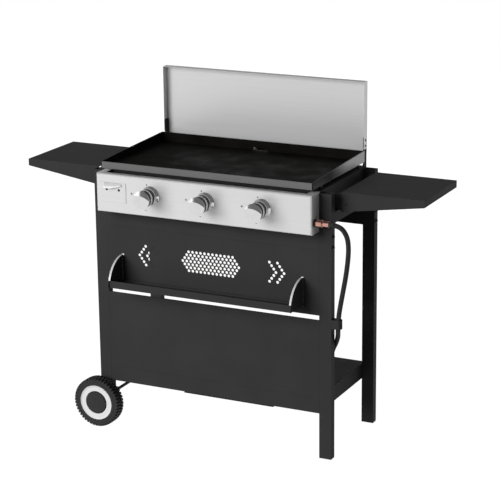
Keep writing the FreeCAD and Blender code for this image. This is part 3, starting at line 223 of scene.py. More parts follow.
# The plate's side walls carry painted shade, a dark reflection painted on: full in front of the first place,
# fading to plain steel behind the second
FULL_PAINTED_SHADE_UNTIL = -0.05
PAINTED_SHADE_GONE_AT = 0.07


def plate_finish():
    """Seasoned black on the cooking surface, dark satin steel on the lip and outer walls, painted shade on
    the walls' fronts.
    """
    material, tree, skin = blank("cooking_plate")
    place = shader(tree, "TexCoord").outputs["Object"]
    axes = shader(tree, "SeparateXYZ", {"Vector": place}).outputs
    sides = shader(tree, "Math", {0: axes["X"]}, operation="ABSOLUTE").outputs[0]
    inside = None
    for socket, limit, test in (
        (sides, SEASONED_SIDE, "LESS_THAN"), (axes["Y"], SEASONED_FRONT, "GREATER_THAN"),
        (axes["Y"], SEASONED_REAR, "LESS_THAN"), (axes["Z"], SEASONED_ABOVE, "GREATER_THAN"),
    ):
        held = shader(tree, "Math", {0: socket, 1: limit}, operation=test).outputs[0]
        inside = held if inside is None else shader(
            tree, "Math", {0: inside, 1: held}, operation="MULTIPLY").outputs[0]
    patches = speckle(tree, 16.0, 5.0)
    scours = speckle(tree, 260.0, 3.0, (0.12, 1.0, 1.0))
    seasoned = two_tones(tree, patches, (0.003, 0.0028, 0.0025), (0.006, 0.0055, 0.005))
    # Painted shade: towards their front the outer walls' steel darkens to 0.008, a painted dark reflection.
    wall = shader(tree, "Math", {0: sides, 1: SEASONED_SIDE}, operation="GREATER_THAN").outputs[0]
    painted_shade_fade = between(tree, axes["Y"], 0.0, 1.0, FULL_PAINTED_SHADE_UNTIL, PAINTED_SHADE_GONE_AT)
    free_of_painted_shade = between(tree, wall, 1.0, painted_shade_fade, 0.0, 1.0)
    steel = two_tones(tree, free_of_painted_shade, 0.008, two_tones(tree, scours, 0.18, 0.21), 0.0, 1.0)
    colour = shader(tree, "Mix", {"Factor": inside}, data_type="RGBA")
    tree.links.new(steel, colour.inputs[6])
    tree.links.new(seasoned, colour.inputs[7])
    tree.links.new(colour.outputs[2], skin.inputs["Base Color"])
    matte = between(tree, patches, 0.42, 0.7)
    satin = between(tree, scours, 0.36, 0.46)
    rough = shader(tree, "Mix", {"Factor": inside, 2: satin, 3: matte})
    tree.links.new(rough.outputs[0], skin.inputs["Roughness"])
    metal = between(tree, inside, 1.0, 0.0, 0.0, 1.0)
    tree.links.new(metal, skin.inputs["Metallic"])
    skin.inputs["Specular IOR Level"].default_value = 0.03
    bump = shader(tree, "Bump", {"Height": scours, "Distance": 0.03 * MM, "Strength": 0.6})
    tree.links.new(bump.outputs["Normal"], skin.inputs["Normal"])
    return material


# One finish for each material slot, and four more for small pieces
FINISHES = {
    "black_powder": finish("black_powder", 0.0245, 0.0285, 0.5, 0.58, cloud=7.0, grain=1100.0, relief=0.03,
                           specular=0.035),
    "stainless": finish("stainless", 0.54, 0.57, 0.32, 0.38, cloud=300.0, grain=900.0, relief=0.004,
                        metallic=0.45, stretch=(0.012, 1.0, 1.0)),
    "cooking_plate": plate_finish(),
    "knob_chrome": finish("knob_chrome", 0.62, 0.67, 0.1, 0.16, cloud=30.0, grain=700.0, relief=0.002,
                          metallic=1.0),
    "knob_plastic": finish("knob_plastic", 0.004, 0.006, 0.3, 0.36, grain=1500.0, relief=0.006,
                           specular=0.4),
    "bright_steel": finish("bright_steel", 0.55, 0.66, 0.25, 0.4, cloud=40.0, grain=600.0, relief=0.01,
                           metallic=1.0),
    "black_bolts": finish("black_bolts", 0.004, 0.008, 0.4, 0.5, cloud=60.0, relief=0.01, specular=0.25),
    "burner_steel": finish("burner_steel", 0.3, 0.46, 0.32, 0.5, cloud=30.0, grain=500.0, relief=0.02,
                           metallic=1.0),
    "cup_steel": finish("cup_steel", 0.42, 0.6, 0.3, 0.46, cloud=55.0, grain=300.0, relief=0.01,
                        metallic=1.0),
    "ceramic": finish("ceramic", (0.78, 0.76, 0.71), (0.86, 0.85, 0.81), 0.15, 0.25, relief=0.005),
    "brass": finish("brass", (0.48, 0.25, 0.2), (0.64, 0.36, 0.3), 0.2, 0.34, cloud=80.0, grain=800.0,
                    relief=0.008, metallic=1.0),
    "black_rubber": finish("black_rubber", 0.017, 0.022, 0.4, 0.5, cloud=25.0, grain=1200.0, relief=0.02,
                           specular=0.1),
    "regulator_grey": finish("regulator_grey", 0.34, 0.44, 0.38, 0.52, cloud=40.0, grain=700.0, relief=0.03,
                             metallic=1.0),
    "black_plastic": finish("black_plastic", 0.01, 0.018, 0.4, 0.52, grain=1400.0, relief=0.02),
    "tyre": finish("tyre", 0.02, 0.026, 0.5, 0.6, cloud=35.0, grain=1000.0, relief=0.04, specular=0.15),
    "white_rim": finish("white_rim", 0.5, 0.54, 0.3, 0.4, cloud=18.0, grain=900.0, relief=0.01),
    "hub_plastic": finish("hub_plastic", 0.019, 0.024, 0.42, 0.5, cloud=25.0, grain=1200.0, relief=0.01,
                          specular=0.15),
}
SOOTY_STEEL = finish("sooty_steel", 0.006, 0.03, 0.5, 0.65, cloud=30.0, relief=0.02, specular=0.1)
# A paler copy of the stainless finish: it paints a highlight on the spice shelf's end strips and the
# opener's lip.
PAINTED_HIGHLIGHT_STEEL = finish("painted_highlight_steel", 0.7, 0.76, 0.3, 0.36, cloud=40.0, relief=0.001, metallic=0.5)
BLACK_PRINT = finish("black_print", 0.01, 0.02, 0.4, 0.5, relief=0.002)
RED_MARK = finish("red_mark", (0.4, 0.006, 0.03), (0.5, 0.01, 0.04), 0.3, 0.4, relief=0.002)


# Meshes
def build(name, patches, body, slot, replaced=(), smooth_below=35.0, material=None):
    """One piece from patches of (points in mm, faces): doubles are merged and faces turned outwards."""
    points, faces, start = [], [], 0
    for spots, corners in patches:
        points.append(spots)
        faces += [[start + k for k in face] for face in corners]
        start += len(spots)
    mesh = bpy.data.meshes.new(name)
    mesh.from_pydata(np.concatenate(points) * MM, [], faces)
    work = bmesh.new()
    work.from_mesh(mesh)
    bmesh.ops.remove_doubles(work, verts=work.verts, dist=1e-6)
    bmesh.ops.recalc_face_normals(work, faces=work.faces)
    work.to_mesh(mesh)
    work.free()
    return show(name, mesh, body, slot, replaced, smooth_below, material)


def show(name, mesh, body, slot, replaced=(), smooth_below=35.0, material=None):
    """Puts a mesh in the scene with its finish, on its body, in the place of CAD nodes."""
    mesh.polygons.foreach_set("use_smooth", np.ones(len(mesh.polygons), bool))
    mesh.set_sharp_from_angle(angle=math.radians(smooth_below))
    mesh.materials.clear()
    mesh.materials.append(material or FINISHES[slot])
    piece = bpy.data.objects.new(name, mesh)
    bpy.context.scene.collection.objects.link(piece)
    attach(piece, body)
    if replaced:
        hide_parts(*replaced)
    return piece


def round_edges(piece, width, segments=2, limit=40.0):
    """Rounds the corners of a piece that turn by more than limit degrees, width in mm."""
    bevel = piece.modifiers.new("rounded", "BEVEL")
    bevel.width = width * MM
    bevel.segments = segments
    bevel.limit_method = "ANGLE"
    bevel.angle_limit = math.radians(limit)
    bevel.use_clamp_overlap = True
    bevel.harden_normals = True
    return piece


def sheet(rows, round_u=False, round_v=False):
    """A patch: the quads between neighbouring points of a grid of shape (n, m, 3)."""
    n, m, _ = rows.shape
    i = np.arange(n if round_u else n - 1)[:, None]
    j = np.arange(m if round_v else m - 1)[None, :]
    after_i, after_j = (i + 1) % n, (j + 1) % m
    corners = [i * m + j, i * m + after_j, after_i * m + after_j, after_i * m + j]
    quads = np.stack(np.broadcast_arrays(*corners), -1).reshape(-1, 4)
    return rows.reshape(-1, 3), quads.tolist()


def turned(profile, centre, along="y", steps=64, swell=None):
    """A profile of (distance along the axis, radius) turned about that axis; swell scales the radius at
    each angle and profile point."""
    profile = np.asarray(profile, float)
    angle = np.linspace(0, 2 * math.pi, steps, endpoint=False)
    radius = np.tile(profile[:, 1], (steps, 1))
    if swell is not None:
        radius = radius * swell(angle[:, None], profile[None, :, 0])
    ahead = np.tile(profile[:, 0], (steps, 1))
    across = radius * np.cos(angle)[:, None]
    upward = radius * np.sin(angle)[:, None]
    order = {"y": (across, ahead, upward), "x": (ahead, across, upward), "z": (across, upward, ahead)}
    return sheet(np.stack(order[along], -1) + np.asarray(centre, float), round_u=True)


def brick(lo, hi):
    """The six sides of a box between two corners."""
    corners = np.array([
        [x, y, z] for x in (lo[0], hi[0]) for y in (lo[1], hi[1]) for z in (lo[2], hi[2])
    ], float)
    sides = [[0, 1, 3, 2], [4, 6, 7, 5], [0, 4, 5, 1], [2, 3, 7, 6], [0, 2, 6, 4], [1, 5, 7, 3]]
    return corners, sides


def eased(profile, radius, steps=4):
    """Rounds every corner of an open profile with a parabola that starts and ends radius from the corner,
    or nearer where a side is short."""
    profile = np.asarray(profile, float)
    out = [profile[:1]]
    for before, corner, after in zip(profile, profile[1:], profile[2:]):
        a, b = before - corner, after - corner
        cut = min(radius, 0.45 * np.linalg.norm(a), 0.45 * np.linalg.norm(b))
        start = corner + a / np.linalg.norm(a) * cut
        end = corner + b / np.linalg.norm(b) * cut
        t = np.linspace(0, 1, steps)[:, None]
        out.append((1 - t) ** 2 * start + 2 * t * (1 - t) * corner + t ** 2 * end)
    out.append(profile[-1:])
    return np.concatenate(out)


# Softened copies of CAD pieces
def soften(node, width):
    """A merged copy of a CAD piece: flat triangles joined, corners rounded, its slot's finish on it."""
    source = nodes[node]
    work = bmesh.new()
    work.from_mesh(source.data)
    for layer in list(work.loops.layers.float_vector.values()):
        work.loops.layers.float_vector.remove(layer)
    bmesh.ops.remove_doubles(work, verts=work.verts, dist=2e-6)
    bmesh.ops.dissolve_limit(work, angle_limit=math.radians(0.5), verts=work.verts, edges=work.edges)
    mesh = bpy.data.meshes.new(node + "_finished")
    work.to_mesh(mesh)
    work.free()
    for layer in [a.name for a in mesh.attributes if a.name == "custom_normal"]:
        mesh.attributes.remove(mesh.attributes[layer])
    piece = show(mesh.name, mesh, source["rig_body"], slot_of[node], [node])
    return round_edges(piece, width)


# How far the corners of each folded or machined piece are rounded
ROUNDED = {
    "leg_front_right": 0.9, "leg_rear_right": 0.9, "leg_front_left": 0.9, "leg_rear_left": 0.9,
    "foot_caps": 0.5, "front_rail": 0.45, "rear_rail": 0.45, "side_rail_right": 0.45,
    "side_rail_left": 0.45, "shelf_right": 0.5, "shelf_left": 0.5, "vent_panel": 0.4, "lower_panel": 0.4,
    "spice_shelf": 0.4, "spice_end_right": 0.4, "spice_end_left": 0.4, "bottom_shelf": 0.45,
    "cylinder_tray": 0.45, "burner_box": 0.4, "control_panel": 0.3, "wind_guard": 0.5,
    "guard_bracket_right": 0.5, "guard_bracket_left": 0.5, "griddle_plate": 0.8, "griddle_feet": 0.4,
    "grease_cup": 0.4, "inlet_bush": 0.8, "inlet_fitting": 0.5, "hose_clip": 0.6, "burners": 0.3,
    "valves": 0.4, "gas_manifold": 0.4, "axle": 0.5, "axle_nuts": 0.5,
}

for name, item in nodes.items():
    item.data.materials.clear()
    item.data.materials.append(FINISHES["black_bolts" if name == "hinge_pins" else slot_of[name]])
for node, width in ROUNDED.items():
    soften(node, width)


# Hose: the CAD route's points as one smooth curve
def hose_route():
    """The free run as listed points, then the coil as 16 points a turn on a circle's outer corners. After a
    quarter turn the coil climbs onto its first turn within five eighths of a turn, by a smooth step: three
    squares less two cubes of the share of the climb."""
    leg_corner = np.array([LEG_OUT, LEG_FRONT, 0.0])
    leaving = [HOSE_EXIT, HOSE_EXIT + [32, 0, 0]]
    by_leg = [
        (60, -25, 729), (63, -17, 690), (57, -10, 640), (47, -3, 588), (35, 3, 536), (26.5, 7, 498),
        (20, 9.5, 464), (15.5, 14.5, 418), (10.5, 27.5, 392), (-1, 39, 367), (-15, 43, 341),
        (-20, 42, 312), (-21, 39.5, 284), (-22, 38, 256),
    ]
    landing = [(84.5, 5.5, 26.5), (66, 2.5, 9), (42, 0, 0), (15, 0, 0)]
    turn = np.arange(1, 21) * math.pi / 8
    share = np.clip((turn - math.pi / 2) / (1.25 * math.pi), 0, 1)
    rise = (REGULATOR_AXIS[1] - COIL_START[2]) * share ** 2 * (3 - 2 * share)
    reach = COIL_RADIUS / math.cos(math.pi / 16)
    coil = np.stack([
        COIL_MIDDLE[0] - reach * np.sin(turn), COIL_MIDDLE[1] - reach * np.cos(turn), COIL_START[2] + rise,
    ], -1)
    tail = coil[-1] + [0, 15, 0]
    return np.concatenate([leaving, leg_corner + by_leg, COIL_START + landing, coil, [tail]])


def lay_hose():
    points = hose_route() * MM
    data = bpy.data.curves.new("hose", "CURVE")
    data.dimensions = "3D"
    spline = data.splines.new("NURBS")
    spline.points.add(len(points) - 1)
    spline.points.foreach_set("co", np.hstack([points, np.ones((len(points), 1))]).ravel())
    spline.order_u = 3
    spline.use_endpoint_u = True
    data.resolution_u = 10
    data.bevel_depth = HOSE_RADIUS * MM
    data.bevel_resolution = 6
    data.use_fill_caps = True
    data.materials.append(FINISHES["black_rubber"])
    hose = bpy.data.objects.new("hose", data)
    bpy.context.scene.collection.objects.link(hose)
    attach(hose, "cart")
    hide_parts("gas_hose", "hose_coil")
    return hose


hose = lay_hose()


# Ferrule pressed on the hose where it leaves the fitting
def ferrule():
    """An eased sleeve turned about the hose's first run."""
    profile = [(0, 0), (0, 8.8), (15, 8.8), (19, 8.0), (19, 0)]
    return build("hose_ferrule", [turned(eased(profile, 1.0), HOSE_EXIT - [1, 0, 0], "x", 40)], "cart",
                 "black_rubber")


# Regulator: a cast body with twelve lugs and two stubs, and the gripped nut on one of them
def regulator():
    """A drum turned about z and two stubs turned about y. A cosine swells the drum into its lugs, and the
    nut's radius steps in by 6% at its sixteen grips."""
    x, z = REGULATOR_AXIS
    drum_y = 18.0
    nut_y = low_corner("regulator_nut")[1]
    drum = [
        (-23.5, 0), (-23.5, 22), (-20, 25.6), (-3, 25.6), (-3, 26), (3, 26), (3, 25.2), (16, 22), (21, 18),
        (22.6, 14), (27.6, 12), (28.4, 0),
    ]
    hose_stub = [(-64, 0), (-64, 6.5), (-63, 8.5), (-48, 8.5), (-46, 9.4), (-20, 9.4), (-20, 0)]
    nut_stub = [(20, 0), (20, 11), (30, 11), (32, 8.9), (57, 8.9), (58, 7.5), (58, 0)]
    nut = [
        (0.3, 9.1), (0.3, 15.2), (2, 16.6), (3.2, 17.3), (4, 17.3), (20, 17.3), (20.8, 17.3), (22, 16.6),
        (23.7, 15.2), (23.7, 9.1), (0.3, 9.1),
    ]

    def lugs(angle, _):
        return 1 + 0.02 * np.cos(12 * angle)

    def grips(angle, along):
        return 1 - 0.06 * (np.cos(16 * angle) > 0.4) * (along > 3) * (along < 21)

    build("regulator_body", [
        turned(eased(drum, 1.6), (x, drum_y, z), "z", 96, lugs),
        turned(eased(hose_stub, 0.8), (x, drum_y, z), "y", 40),
        turned(eased(nut_stub, 0.8), (x, drum_y, z), "y", 40),
    ], "cart", "regulator_grey", ["regulator"])
    build("regulator_grip", [turned(nut, (x, nut_y, z), "y", 192, grips)], "regulator_nut", "black_plastic",
          ["regulator_nut"], 30)


ferrule()
regulator()


# Knobs: a dark body with two bright rings and a chromed cap with a scooped facet
def knob_cap(number, x):
    """Columns of the cap from its lower rim to the crease and on to the upper rim. The crease is a flat
    parabola with its top left of the axis, and above it the face leans back by a share of the height."""
    radius, thickness = 28.0, 4.3
    crease_top, crease_left, crease_bend = 13.0, 8.0, 0.0103
    lean, deepest = 0.235, 4.2
    across = radius * np.sin(np.linspace(-math.pi / 2, math.pi / 2, 61))[:, None]
    rim = np.sqrt(np.clip(radius ** 2 - across ** 2, 0, None))
    crease = np.clip(crease_top - crease_bend * (across + crease_left) ** 2, -rim, rim)
    low = -rim + (crease + rim) * np.linspace(0, 1, 24)
    high = crease + (rim - crease) * np.linspace(0, 1, 16)[1:]
    height = np.hstack([low, high])
    back = np.minimum(lean * np.clip(height - crease, 0, None), deepest)
    face = np.stack([
        np.broadcast_to(across + x, height.shape), KNOB_FACE - thickness + back, height + KNOB_Z,
    ], -1)
    rear = face.copy()
    rear[..., 1] = KNOB_FACE
    edge = [np.concatenate([part[:, 0], part[::-1, -1]]) for part in (face, rear)]
    cap = build(f"chrome_cap_{number}", [sheet(face), sheet(rear), sheet(np.stack(edge), round_v=True)],
                f"knob_{number}", "knob_chrome", [f"knob_cap_{number}"], 9)
    round_edges(cap, 0.7, 3, 50)
    disc = [(-0.35, 0), (-0.35, 1.9), (0.2, 2.1), (0.2, 0)]
    spot = turned(disc, (x - 4.6, KNOB_FACE - 2.6, KNOB_Z + 17.4), "y", 24)
    build(f"knob_mark_{number}", [spot], f"knob_{number}", "knob_chrome", material=RED_MARK)


def knob_body(number, x):
    """Rings turned about the knob's axis, from the panel outwards: bright skirt, dark barrel, bright ring,
    dark neck. The bright ring sits in a groove of the barrel."""
    centre = (x, 0, KNOB_Z)
    skirt_front = KNOB_BACK - 6
    groove_back, groove_front = -239.4, -249.6
    barrel = [
        (skirt_front, 0), (skirt_front, 25.2), (groove_back, 25.0), (groove_back, 24.2),
        (groove_front, 24.2), (groove_front, 25.0), (KNOB_FACE + 0.1, 25.4), (KNOB_FACE + 0.1, 0),
    ]
    skirt = [
        (KNOB_BACK, 4.1), (KNOB_BACK, 25.5), (KNOB_BACK - 1, 26.4), (KNOB_BACK - 5, 26.2),
        (skirt_front, 25.4), (skirt_front, 4.1),
    ]
    ring = [(-239.3, 24.2), (-239.3, 25.8), (-240.2, 26.4), (-248.8, 26.4), (-249.7, 25.8), (-249.7, 24.2)]
    build(f"knob_barrel_{number}", [turned(eased(barrel, 0.5), centre, "y", 96)], f"knob_{number}",
          "knob_plastic", [f"knob_{number}"])
    rings = [turned(part + part[:1], centre, "y", 96) for part in (skirt, ring)]
    build(f"knob_rings_{number}", rings, f"knob_{number}", "knob_chrome")


def bezels():
    """Conical rings round each shaft, turned about the knobs' axes and pressed into the panel."""
    profile = [
        (-206.7, 9.6), (-206.7, 30), (-207.6, 30.1), (-208.3, 29.4), (-213.4, 26.6), (-215.3, 25.4),
        (-215.7, 24.4), (-215.7, 20), (-212.5, 18.5), (-212.5, 9.6),
    ]
    closed = profile + profile[:1]
    build("bezel_rings", [turned(closed, (x, 0, KNOB_Z), "y", 96) for x in KNOB_X], "cart", "knob_chrome",
          ["knob_bezels"])


for number, x in enumerate(KNOB_X, 1):
    knob_cap(number, x)
    knob_body(number, x)
bezels()


# Small printed marks on the control panel round each knob
def printed_marks():
    """A dot above each knob, a cross of two bars at its left and a dash below it."""
    face = CONSOLE_FACE - 0.12
    disc = [(-0.1, 0), (-0.1, 2.1), (0.1, 2.2), (0.1, 0)]
    bars = [((-70, -0.8), (-62, 0.8)), ((-67, -4), (-65.4, 4)), ((-21, -48), (-15, -46.6))]
    patches = []
    for x in KNOB_X:
        patches.append(turned(disc, (x - 13, face, KNOB_Z + 33), "y", 20))
        patches += [
            brick((x + left, face - 0.1, KNOB_Z + bottom), (x + right, face + 0.1, KNOB_Z + top))
            for (left, bottom), (right, top) in bars
        ]
    build("panel_marks", patches, "cart", "stainless", material=BLACK_PRINT)


printed_marks()


# Bottle opener: a plate with a lip pressed out of it, deepest at its left and running to a point
def bottle_opener():
    """The lip is a grid of points along it and down it. Its reach from the plate grows as a square root over
    the root of the lip and then falls to 28% at the point, its lower edge slopes up from 42% of the way, and
    a sine of the way down bulges it, so that the lower edge stands out from the plate."""
    low, high = low_corner("bottle_opener"), high_corner("bottle_opener")
    plate_y = CONSOLE_FACE - 1.6
    plate = brick((low[0], plate_y, low[2]), (high[0], plate_y + 1.4, high[2]))
    root = 0.08
    along = np.concatenate([np.linspace(0, root, 7), np.linspace(root, 1, 30)[1:]])
    down = np.linspace(0, 1, 15)
    reach = 10.6 * np.minimum(1, np.sqrt(along / root)) * (1 - 0.72 * along ** 2.2)
    upper = 816.2 - 2.4 * np.clip((along - 0.9) / 0.1, 0, 1)
    lower = 801.0 + 8.5 * np.clip((along - 0.42) / 0.58, 0, 1)
    bulge = np.sin(down * 0.62 * math.pi) ** 0.8
    outer = np.stack([
        np.broadcast_to((low[0] + 13 + 63 * along)[:, None], (len(along), len(down))),
        plate_y - reach[:, None] * bulge - 0.05,
        upper[:, None] + (lower - upper)[:, None] * down,
    ], -1)
    piece = build("opener_plate", [plate], "cart", "stainless", ["bottle_opener"])
    round_edges(piece, 0.4)
    # The lip takes a paler copy of the plate's stainless: painted highlight.
    lip = build("opener_lip", [sheet(outer)], "cart", "stainless", smooth_below=40, material=PAINTED_HIGHLIGHT_STEEL)
    wall = lip.modifiers.new("wall", "SOLIDIFY")
    wall.thickness = 1.1 * MM
    wall.offset = 0


bottle_opener()


# Domed leg bolts and small screws
def bolts_and_screws():
    """Heads and shanks turned about each hole's axis: two bolts in each leg, and the screws of the bottle
    opener and the wind guard."""
    half_leg = 12.5
    bolt_heights = (707, 674)
    opener_screws_x, opener_screws_z = (-327, -284), 796
    guard_screws_y, guard_screws_z = 229.7, (903, 921)
    dome = [
        (5.4, 0), (5.3, 1.9), (4.7, 3.8), (3.5, 5.5), (1.9, 6.6), (0, 7.0), (0, 3.0), (-48, 3.0),
        (-48, 0),
    ]
    patches = []
    for side in (1, -1):
        profile = [(a * side, r) for a, r in dome]
        patches += [
            turned(profile, (LEG_OUT * side, y, z), "x", 32)
            for y in (LEG_FRONT + half_leg, LEG_REAR - half_leg) for z in bolt_heights
        ]
    build("domed_bolts", patches, "cart", "black_bolts", ["leg_bolts"])
    head = [
        (1.9, 0), (1.85, 0.5), (0.9, 0.55), (0.9, 0.9), (1.8, 1.1), (1.55, 2.4), (1.0, 3.5), (0, 4),
        (0, 1.6), (-4, 1.6), (-4, 0),
    ]
    opener = [
        turned([(-a, r) for a, r in head], (x, CONSOLE_FACE - 1.6, opener_screws_z), "y", 24)
        for x in opener_screws_x
    ]
    guard_side = high_corner("wind_guard")[0]
    guard = [
        turned([(a * side, r) for a, r in head], (guard_side * side, guard_screws_y, z), "x", 24)
        for side in (1, -1) for z in guard_screws_z
    ]
    build("small_screws", opener + guard, "cart", "black_bolts", ["sheet_screws"])


bolts_and_screws()

# Tyres: a cut's half width and its sloping side are shares of a block's pitch
TYRE_WIDTH = 40
TREAD_BLOCKS = 45
CUT_REACH = 0.21
CUT_SLOPE = 0.06
CUT_DEPTH = 4.2
ROWS_MEET = 16.6
TREAD_FOOT = 74
TREAD_RISE = 3


def tread(phase, along):
    """How deep the tread is cut, from 0 to 1, at a place round the tyre counted in pitches: two rows of
    blocks half a pitch apart, each cut with sloping sides, and shallower where the rows meet."""
    row = np.where(along < TYRE_WIDTH / 2, 0.0, 0.5)
    away = np.abs((phase - row + 0.5) % 1 - 0.5)
    cut = np.clip((CUT_REACH - away) / CUT_SLOPE, 0, 1)
    from_side = np.minimum(along, TYRE_WIDTH - along)
    return cut * np.where(from_side > ROWS_MEET, 0.4, 1.0)


def tyre(tag, side):
    """The section turned about the axle, with points where a cut's sides start and end. The tread sinks by
    the cut's depth, and less on the way up to it from the side wall."""
    sides = np.array([-CUT_REACH, CUT_SLOPE - CUT_REACH, CUT_REACH - CUT_SLOPE, CUT_REACH])
    phase = (np.arange(TREAD_BLOCKS)[:, None] + np.concatenate([sides, sides + 0.5])).ravel()[:, None]
    angle = phase * 2 * math.pi / TREAD_BLOCKS
    flank = [
        (0.9, 57.5), (0.2, 58.8), (0, 61.5), (0.1, 65.4), (0.9, 66.2), (0.9, 69.4), (0.1, 70.4), (0.1, 74.4),
        (0.3, 77.2), (0.9, 79.3), (2.6, 80.5), (6, 81), (12, 81), (16.4, 81), (17.4, 80), (18.6, 78),
    ]
    profile = np.array(flank + [(TYRE_WIDTH - a, r) for a, r in flank[::-1]])
    profile = np.concatenate([profile, [(20, 57.5), profile[0]]])
    along, section = profile.T
    band = np.clip((section - TREAD_FOOT) / TREAD_RISE, 0, 1)
    radius = section - CUT_DEPTH * tread(phase, along) * band
    rows = np.stack([
        AXLE_X + radius * np.cos(angle),
        np.broadcast_to(WHEEL_FACES[tag] - side * along, radius.shape),
        WHEEL_RADIUS + radius * np.sin(angle),
    ], -1)
    build(f"treaded_tyre_{tag}", [sheet(rows, round_u=True)], f"wheel_{tag}", "tyre", [f"tyre_{tag}"], 38)


# Rims and hub caps
def rim_and_cap(tag, side):
    """A dished rim and a domed cap turned about the axle; the cap's edge has notches 3% deep."""
    centre = (AXLE_X, WHEEL_FACES[tag], WHEEL_RADIUS)
    rim = [
        (7, 5.1), (52.8, 5.1), (52.8, 12), (26, 12), (26, 52.3), (38, 52.3), (38, 57.4), (1.6, 57.4),
        (0.4, 57), (-0.2, 56.2), (0.1, 55), (1.3, 53.4), (1.6, 50), (1.5, 42), (1.4, 39.6), (2, 38.2),
        (2.8, 37.8), (6, 36.8), (7, 34), (7, 5.1),
    ]
    build(f"white_rim_{tag}", [turned([(-side * a, r) for a, r in eased(rim, 0.7)], centre, "y", 128)],
          f"wheel_{tag}", "white_rim", [f"wheel_rim_{tag}"])

    def notches(angle, along):
        depth = -side * along
        return 1 - 0.03 * (np.cos(24 * angle) > 0.5) * (depth < 0.2) * (depth > -1.3)

    cap = [
        (-2.5, 0), (-2.4, 12), (-2.1, 23), (-1.9, 29.6), (-1.4, 30.2), (-1.4, 31.6), (-1.9, 32.2),
        (-1.6, 34.4), (-0.8, 35.9), (0.6, 36.5), (6.5, 36.5), (6.5, 34), (1.2, 34), (1.2, 0),
    ]
    dome = turned([(-side * a, r) for a, r in eased(cap, 0.5)], centre, "y", 144, notches)
    build(f"hub_dome_{tag}", [dome], f"wheel_{tag}", "hub_plastic", [f"hub_cap_{tag}"], 30)


for tag, side in (("front", -1), ("rear", 1)):
    tyre(tag, side)
    rim_and_cap(tag, side)


# Pale strips rolled round the quarter-round ends of the spice shelf: painted highlight on the black rims
def painted_highlight_strips():
    """A narrow pale band that follows the rim of each end plate: arcs about the shelf's hinge, painting its
    highlight.
    """
    _, hinge_y, hinge_z = RACK_HINGE
    swing = np.linspace(math.radians(15.5), math.radians(90), 40)
    section = [(0.0, 86.9), (0.0, 87.25), (6.3, 87.25), (6.3, 86.9)]
    for tag in ("right", "left"):
        start = low_corner(f"spice_end_{tag}")[0] + 0.1
        rows = np.stack([
            np.stack([
                np.full_like(swing, start + across),
                hinge_y - reach * np.cos(swing),
                hinge_z + reach * np.sin(swing),
            ], -1)
            for across, reach in section
        ], 1)
        ends = (rows[[0, -1]].reshape(-1, 3), [[0, 1, 2, 3], [7, 6, 5, 4]])
        # The strips' pale steel is painted highlight.
        build(f"end_highlight_strip_{tag}", [sheet(rows, round_v=True), ends], "spice_rack", "stainless",
              material=PAINTED_HIGHLIGHT_STEEL)


painted_highlight_strips()


# Folded foot of the wind guard, in line with its rear wall
def guard_foot():
    side, rear, _ = high_corner("wind_guard")
    bottom, top = 879, low_corner("wind_guard")[2] + 1
    strip = brick((SHEET_METAL - side, rear - SHEET_METAL, bottom), (side - SHEET_METAL, rear, top))
    foot = build("guard_foot", [strip], "cart", "stainless")
    round_edges(foot, 0.4)


# Splash plate that stands up behind the grease cup
def splash_plate():
    """An upright sheet with two rounded upper corners, each a quarter circle of points."""
    half_width, foot, top, radius = 50, 827, 857, 6
    rear = high_corner("grease_cup")[1]
    corner = np.linspace(0, math.pi / 2, 7)
    left = np.stack([
        radius - half_width - radius * np.sin(corner), top - radius + radius * np.cos(corner),
    ], -1)
    outline = np.concatenate([[(half_width, foot)], left[::-1] * [-1, 1], left, [(-half_width, foot)]])
    rows = np.stack([
        np.column_stack([outline[:, 0], np.full(len(outline), y), outline[:, 1]])
        for y in (rear - SHEET_METAL, rear)
    ])
    count = len(outline)
    ends = (rows.reshape(-1, 3), [list(range(count)), list(range(count, 2 * count))])
    splash = build("cup_splash_plate", [sheet(rows, round_v=True), ends], "grease_cup", "cup_steel",
                   material=SOOTY_STEEL)
    round_edges(splash, 0.3)


guard_foot()
splash_plate()


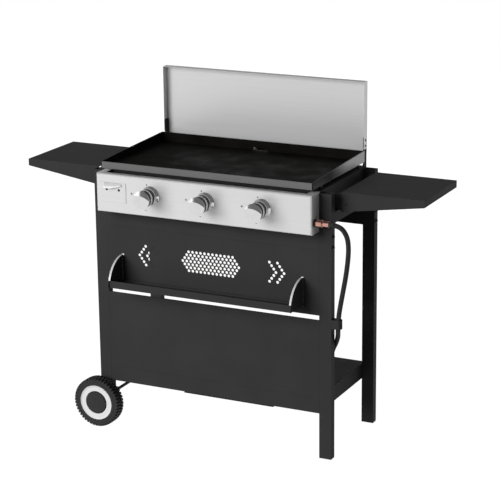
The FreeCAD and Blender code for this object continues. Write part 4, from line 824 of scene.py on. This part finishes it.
# Studio
def pale_sky():
    """A world that is pale to the camera and lights the object dimly."""
    world = bpy.data.worlds.new("studio")
    bpy.context.scene.world = world
    world.use_nodes = True
    tree = world.node_tree
    tree.nodes.clear()
    dim = shader(tree, "Background", {"Strength": 0.25})
    bright = shader(tree, "Background", {"Strength": 1.0})
    seen = shader(tree, "LightPath").outputs["Is Camera Ray"]
    mixed = shader(tree, "MixShader", {0: seen, 1: dim.outputs[0], 2: bright.outputs[0]})
    shader(tree, "OutputWorld", {"Surface": mixed.outputs[0]})


def pale_floor():
    """A floor just under the feet that glows: nearly white to the camera and in reflections, and faint as a
    light on the object."""
    material, tree, skin = blank("pale_floor")
    skin.inputs["Base Color"].default_value = grey(0.05)
    skin.inputs["Roughness"].default_value = 0.9
    skin.inputs["Specular IOR Level"].default_value = 0.1
    skin.inputs["Emission Color"].default_value = grey(1.0)
    ray = shader(tree, "LightPath").outputs
    glossy = between(tree, ray["Is Glossy Ray"], 0.33, 0.95, 0.0, 1.0)
    glow = between(tree, ray["Is Camera Ray"], glossy, 0.985, 0.0, 1.0)
    tree.links.new(glow, skin.inputs["Emission Strength"])
    reach, drop = 40, 0.0003
    mesh = bpy.data.meshes.new("floor")
    mesh.from_pydata([
        (-reach, -reach, -drop), (reach, -reach, -drop), (reach, reach, -drop), (-reach, reach, -drop),
    ], [], [[0, 1, 2, 3]])
    mesh.materials.append(material)
    floor = bpy.data.objects.new("floor", mesh)
    bpy.context.scene.collection.objects.link(floor)


def softbox(name, place, target, width, height, power, glossy=True):
    """A rectangular lamp that faces its target and that the camera doesn't see."""
    light = bpy.data.lights.new(name, "AREA")
    light.shape = "RECTANGLE"
    light.size = width
    light.size_y = height
    light.energy = power
    lamp = bpy.data.objects.new(name, light)
    lamp.visible_camera = False
    lamp.visible_glossy = glossy
    lamp.location = place
    lamp.rotation_euler = (Vector(target) - Vector(place)).to_track_quat("-Z", "Y").to_euler()
    bpy.context.scene.collection.objects.link(lamp)


bpy.context.scene.view_settings.view_transform = "Standard"
pale_sky()
pale_floor()
softbox("key", (-2.6, -5.2, 2.8), (0, 0, 0.5), 4.4, 3.4, 590, False)
softbox("gleam", (-3.1, -4.55, 1.95), (0, 0, 0.8), 1.3, 1.1, 7)
softbox("back_fill", (-1.6, 5.6, 2.0), (0, 0, 0.5), 4.4, 3.0, 420, False)
softbox("rim", (2.6, 1.9, 1.1), (0.4, 0.1, 0.5), 1.0, 1.2, 16)
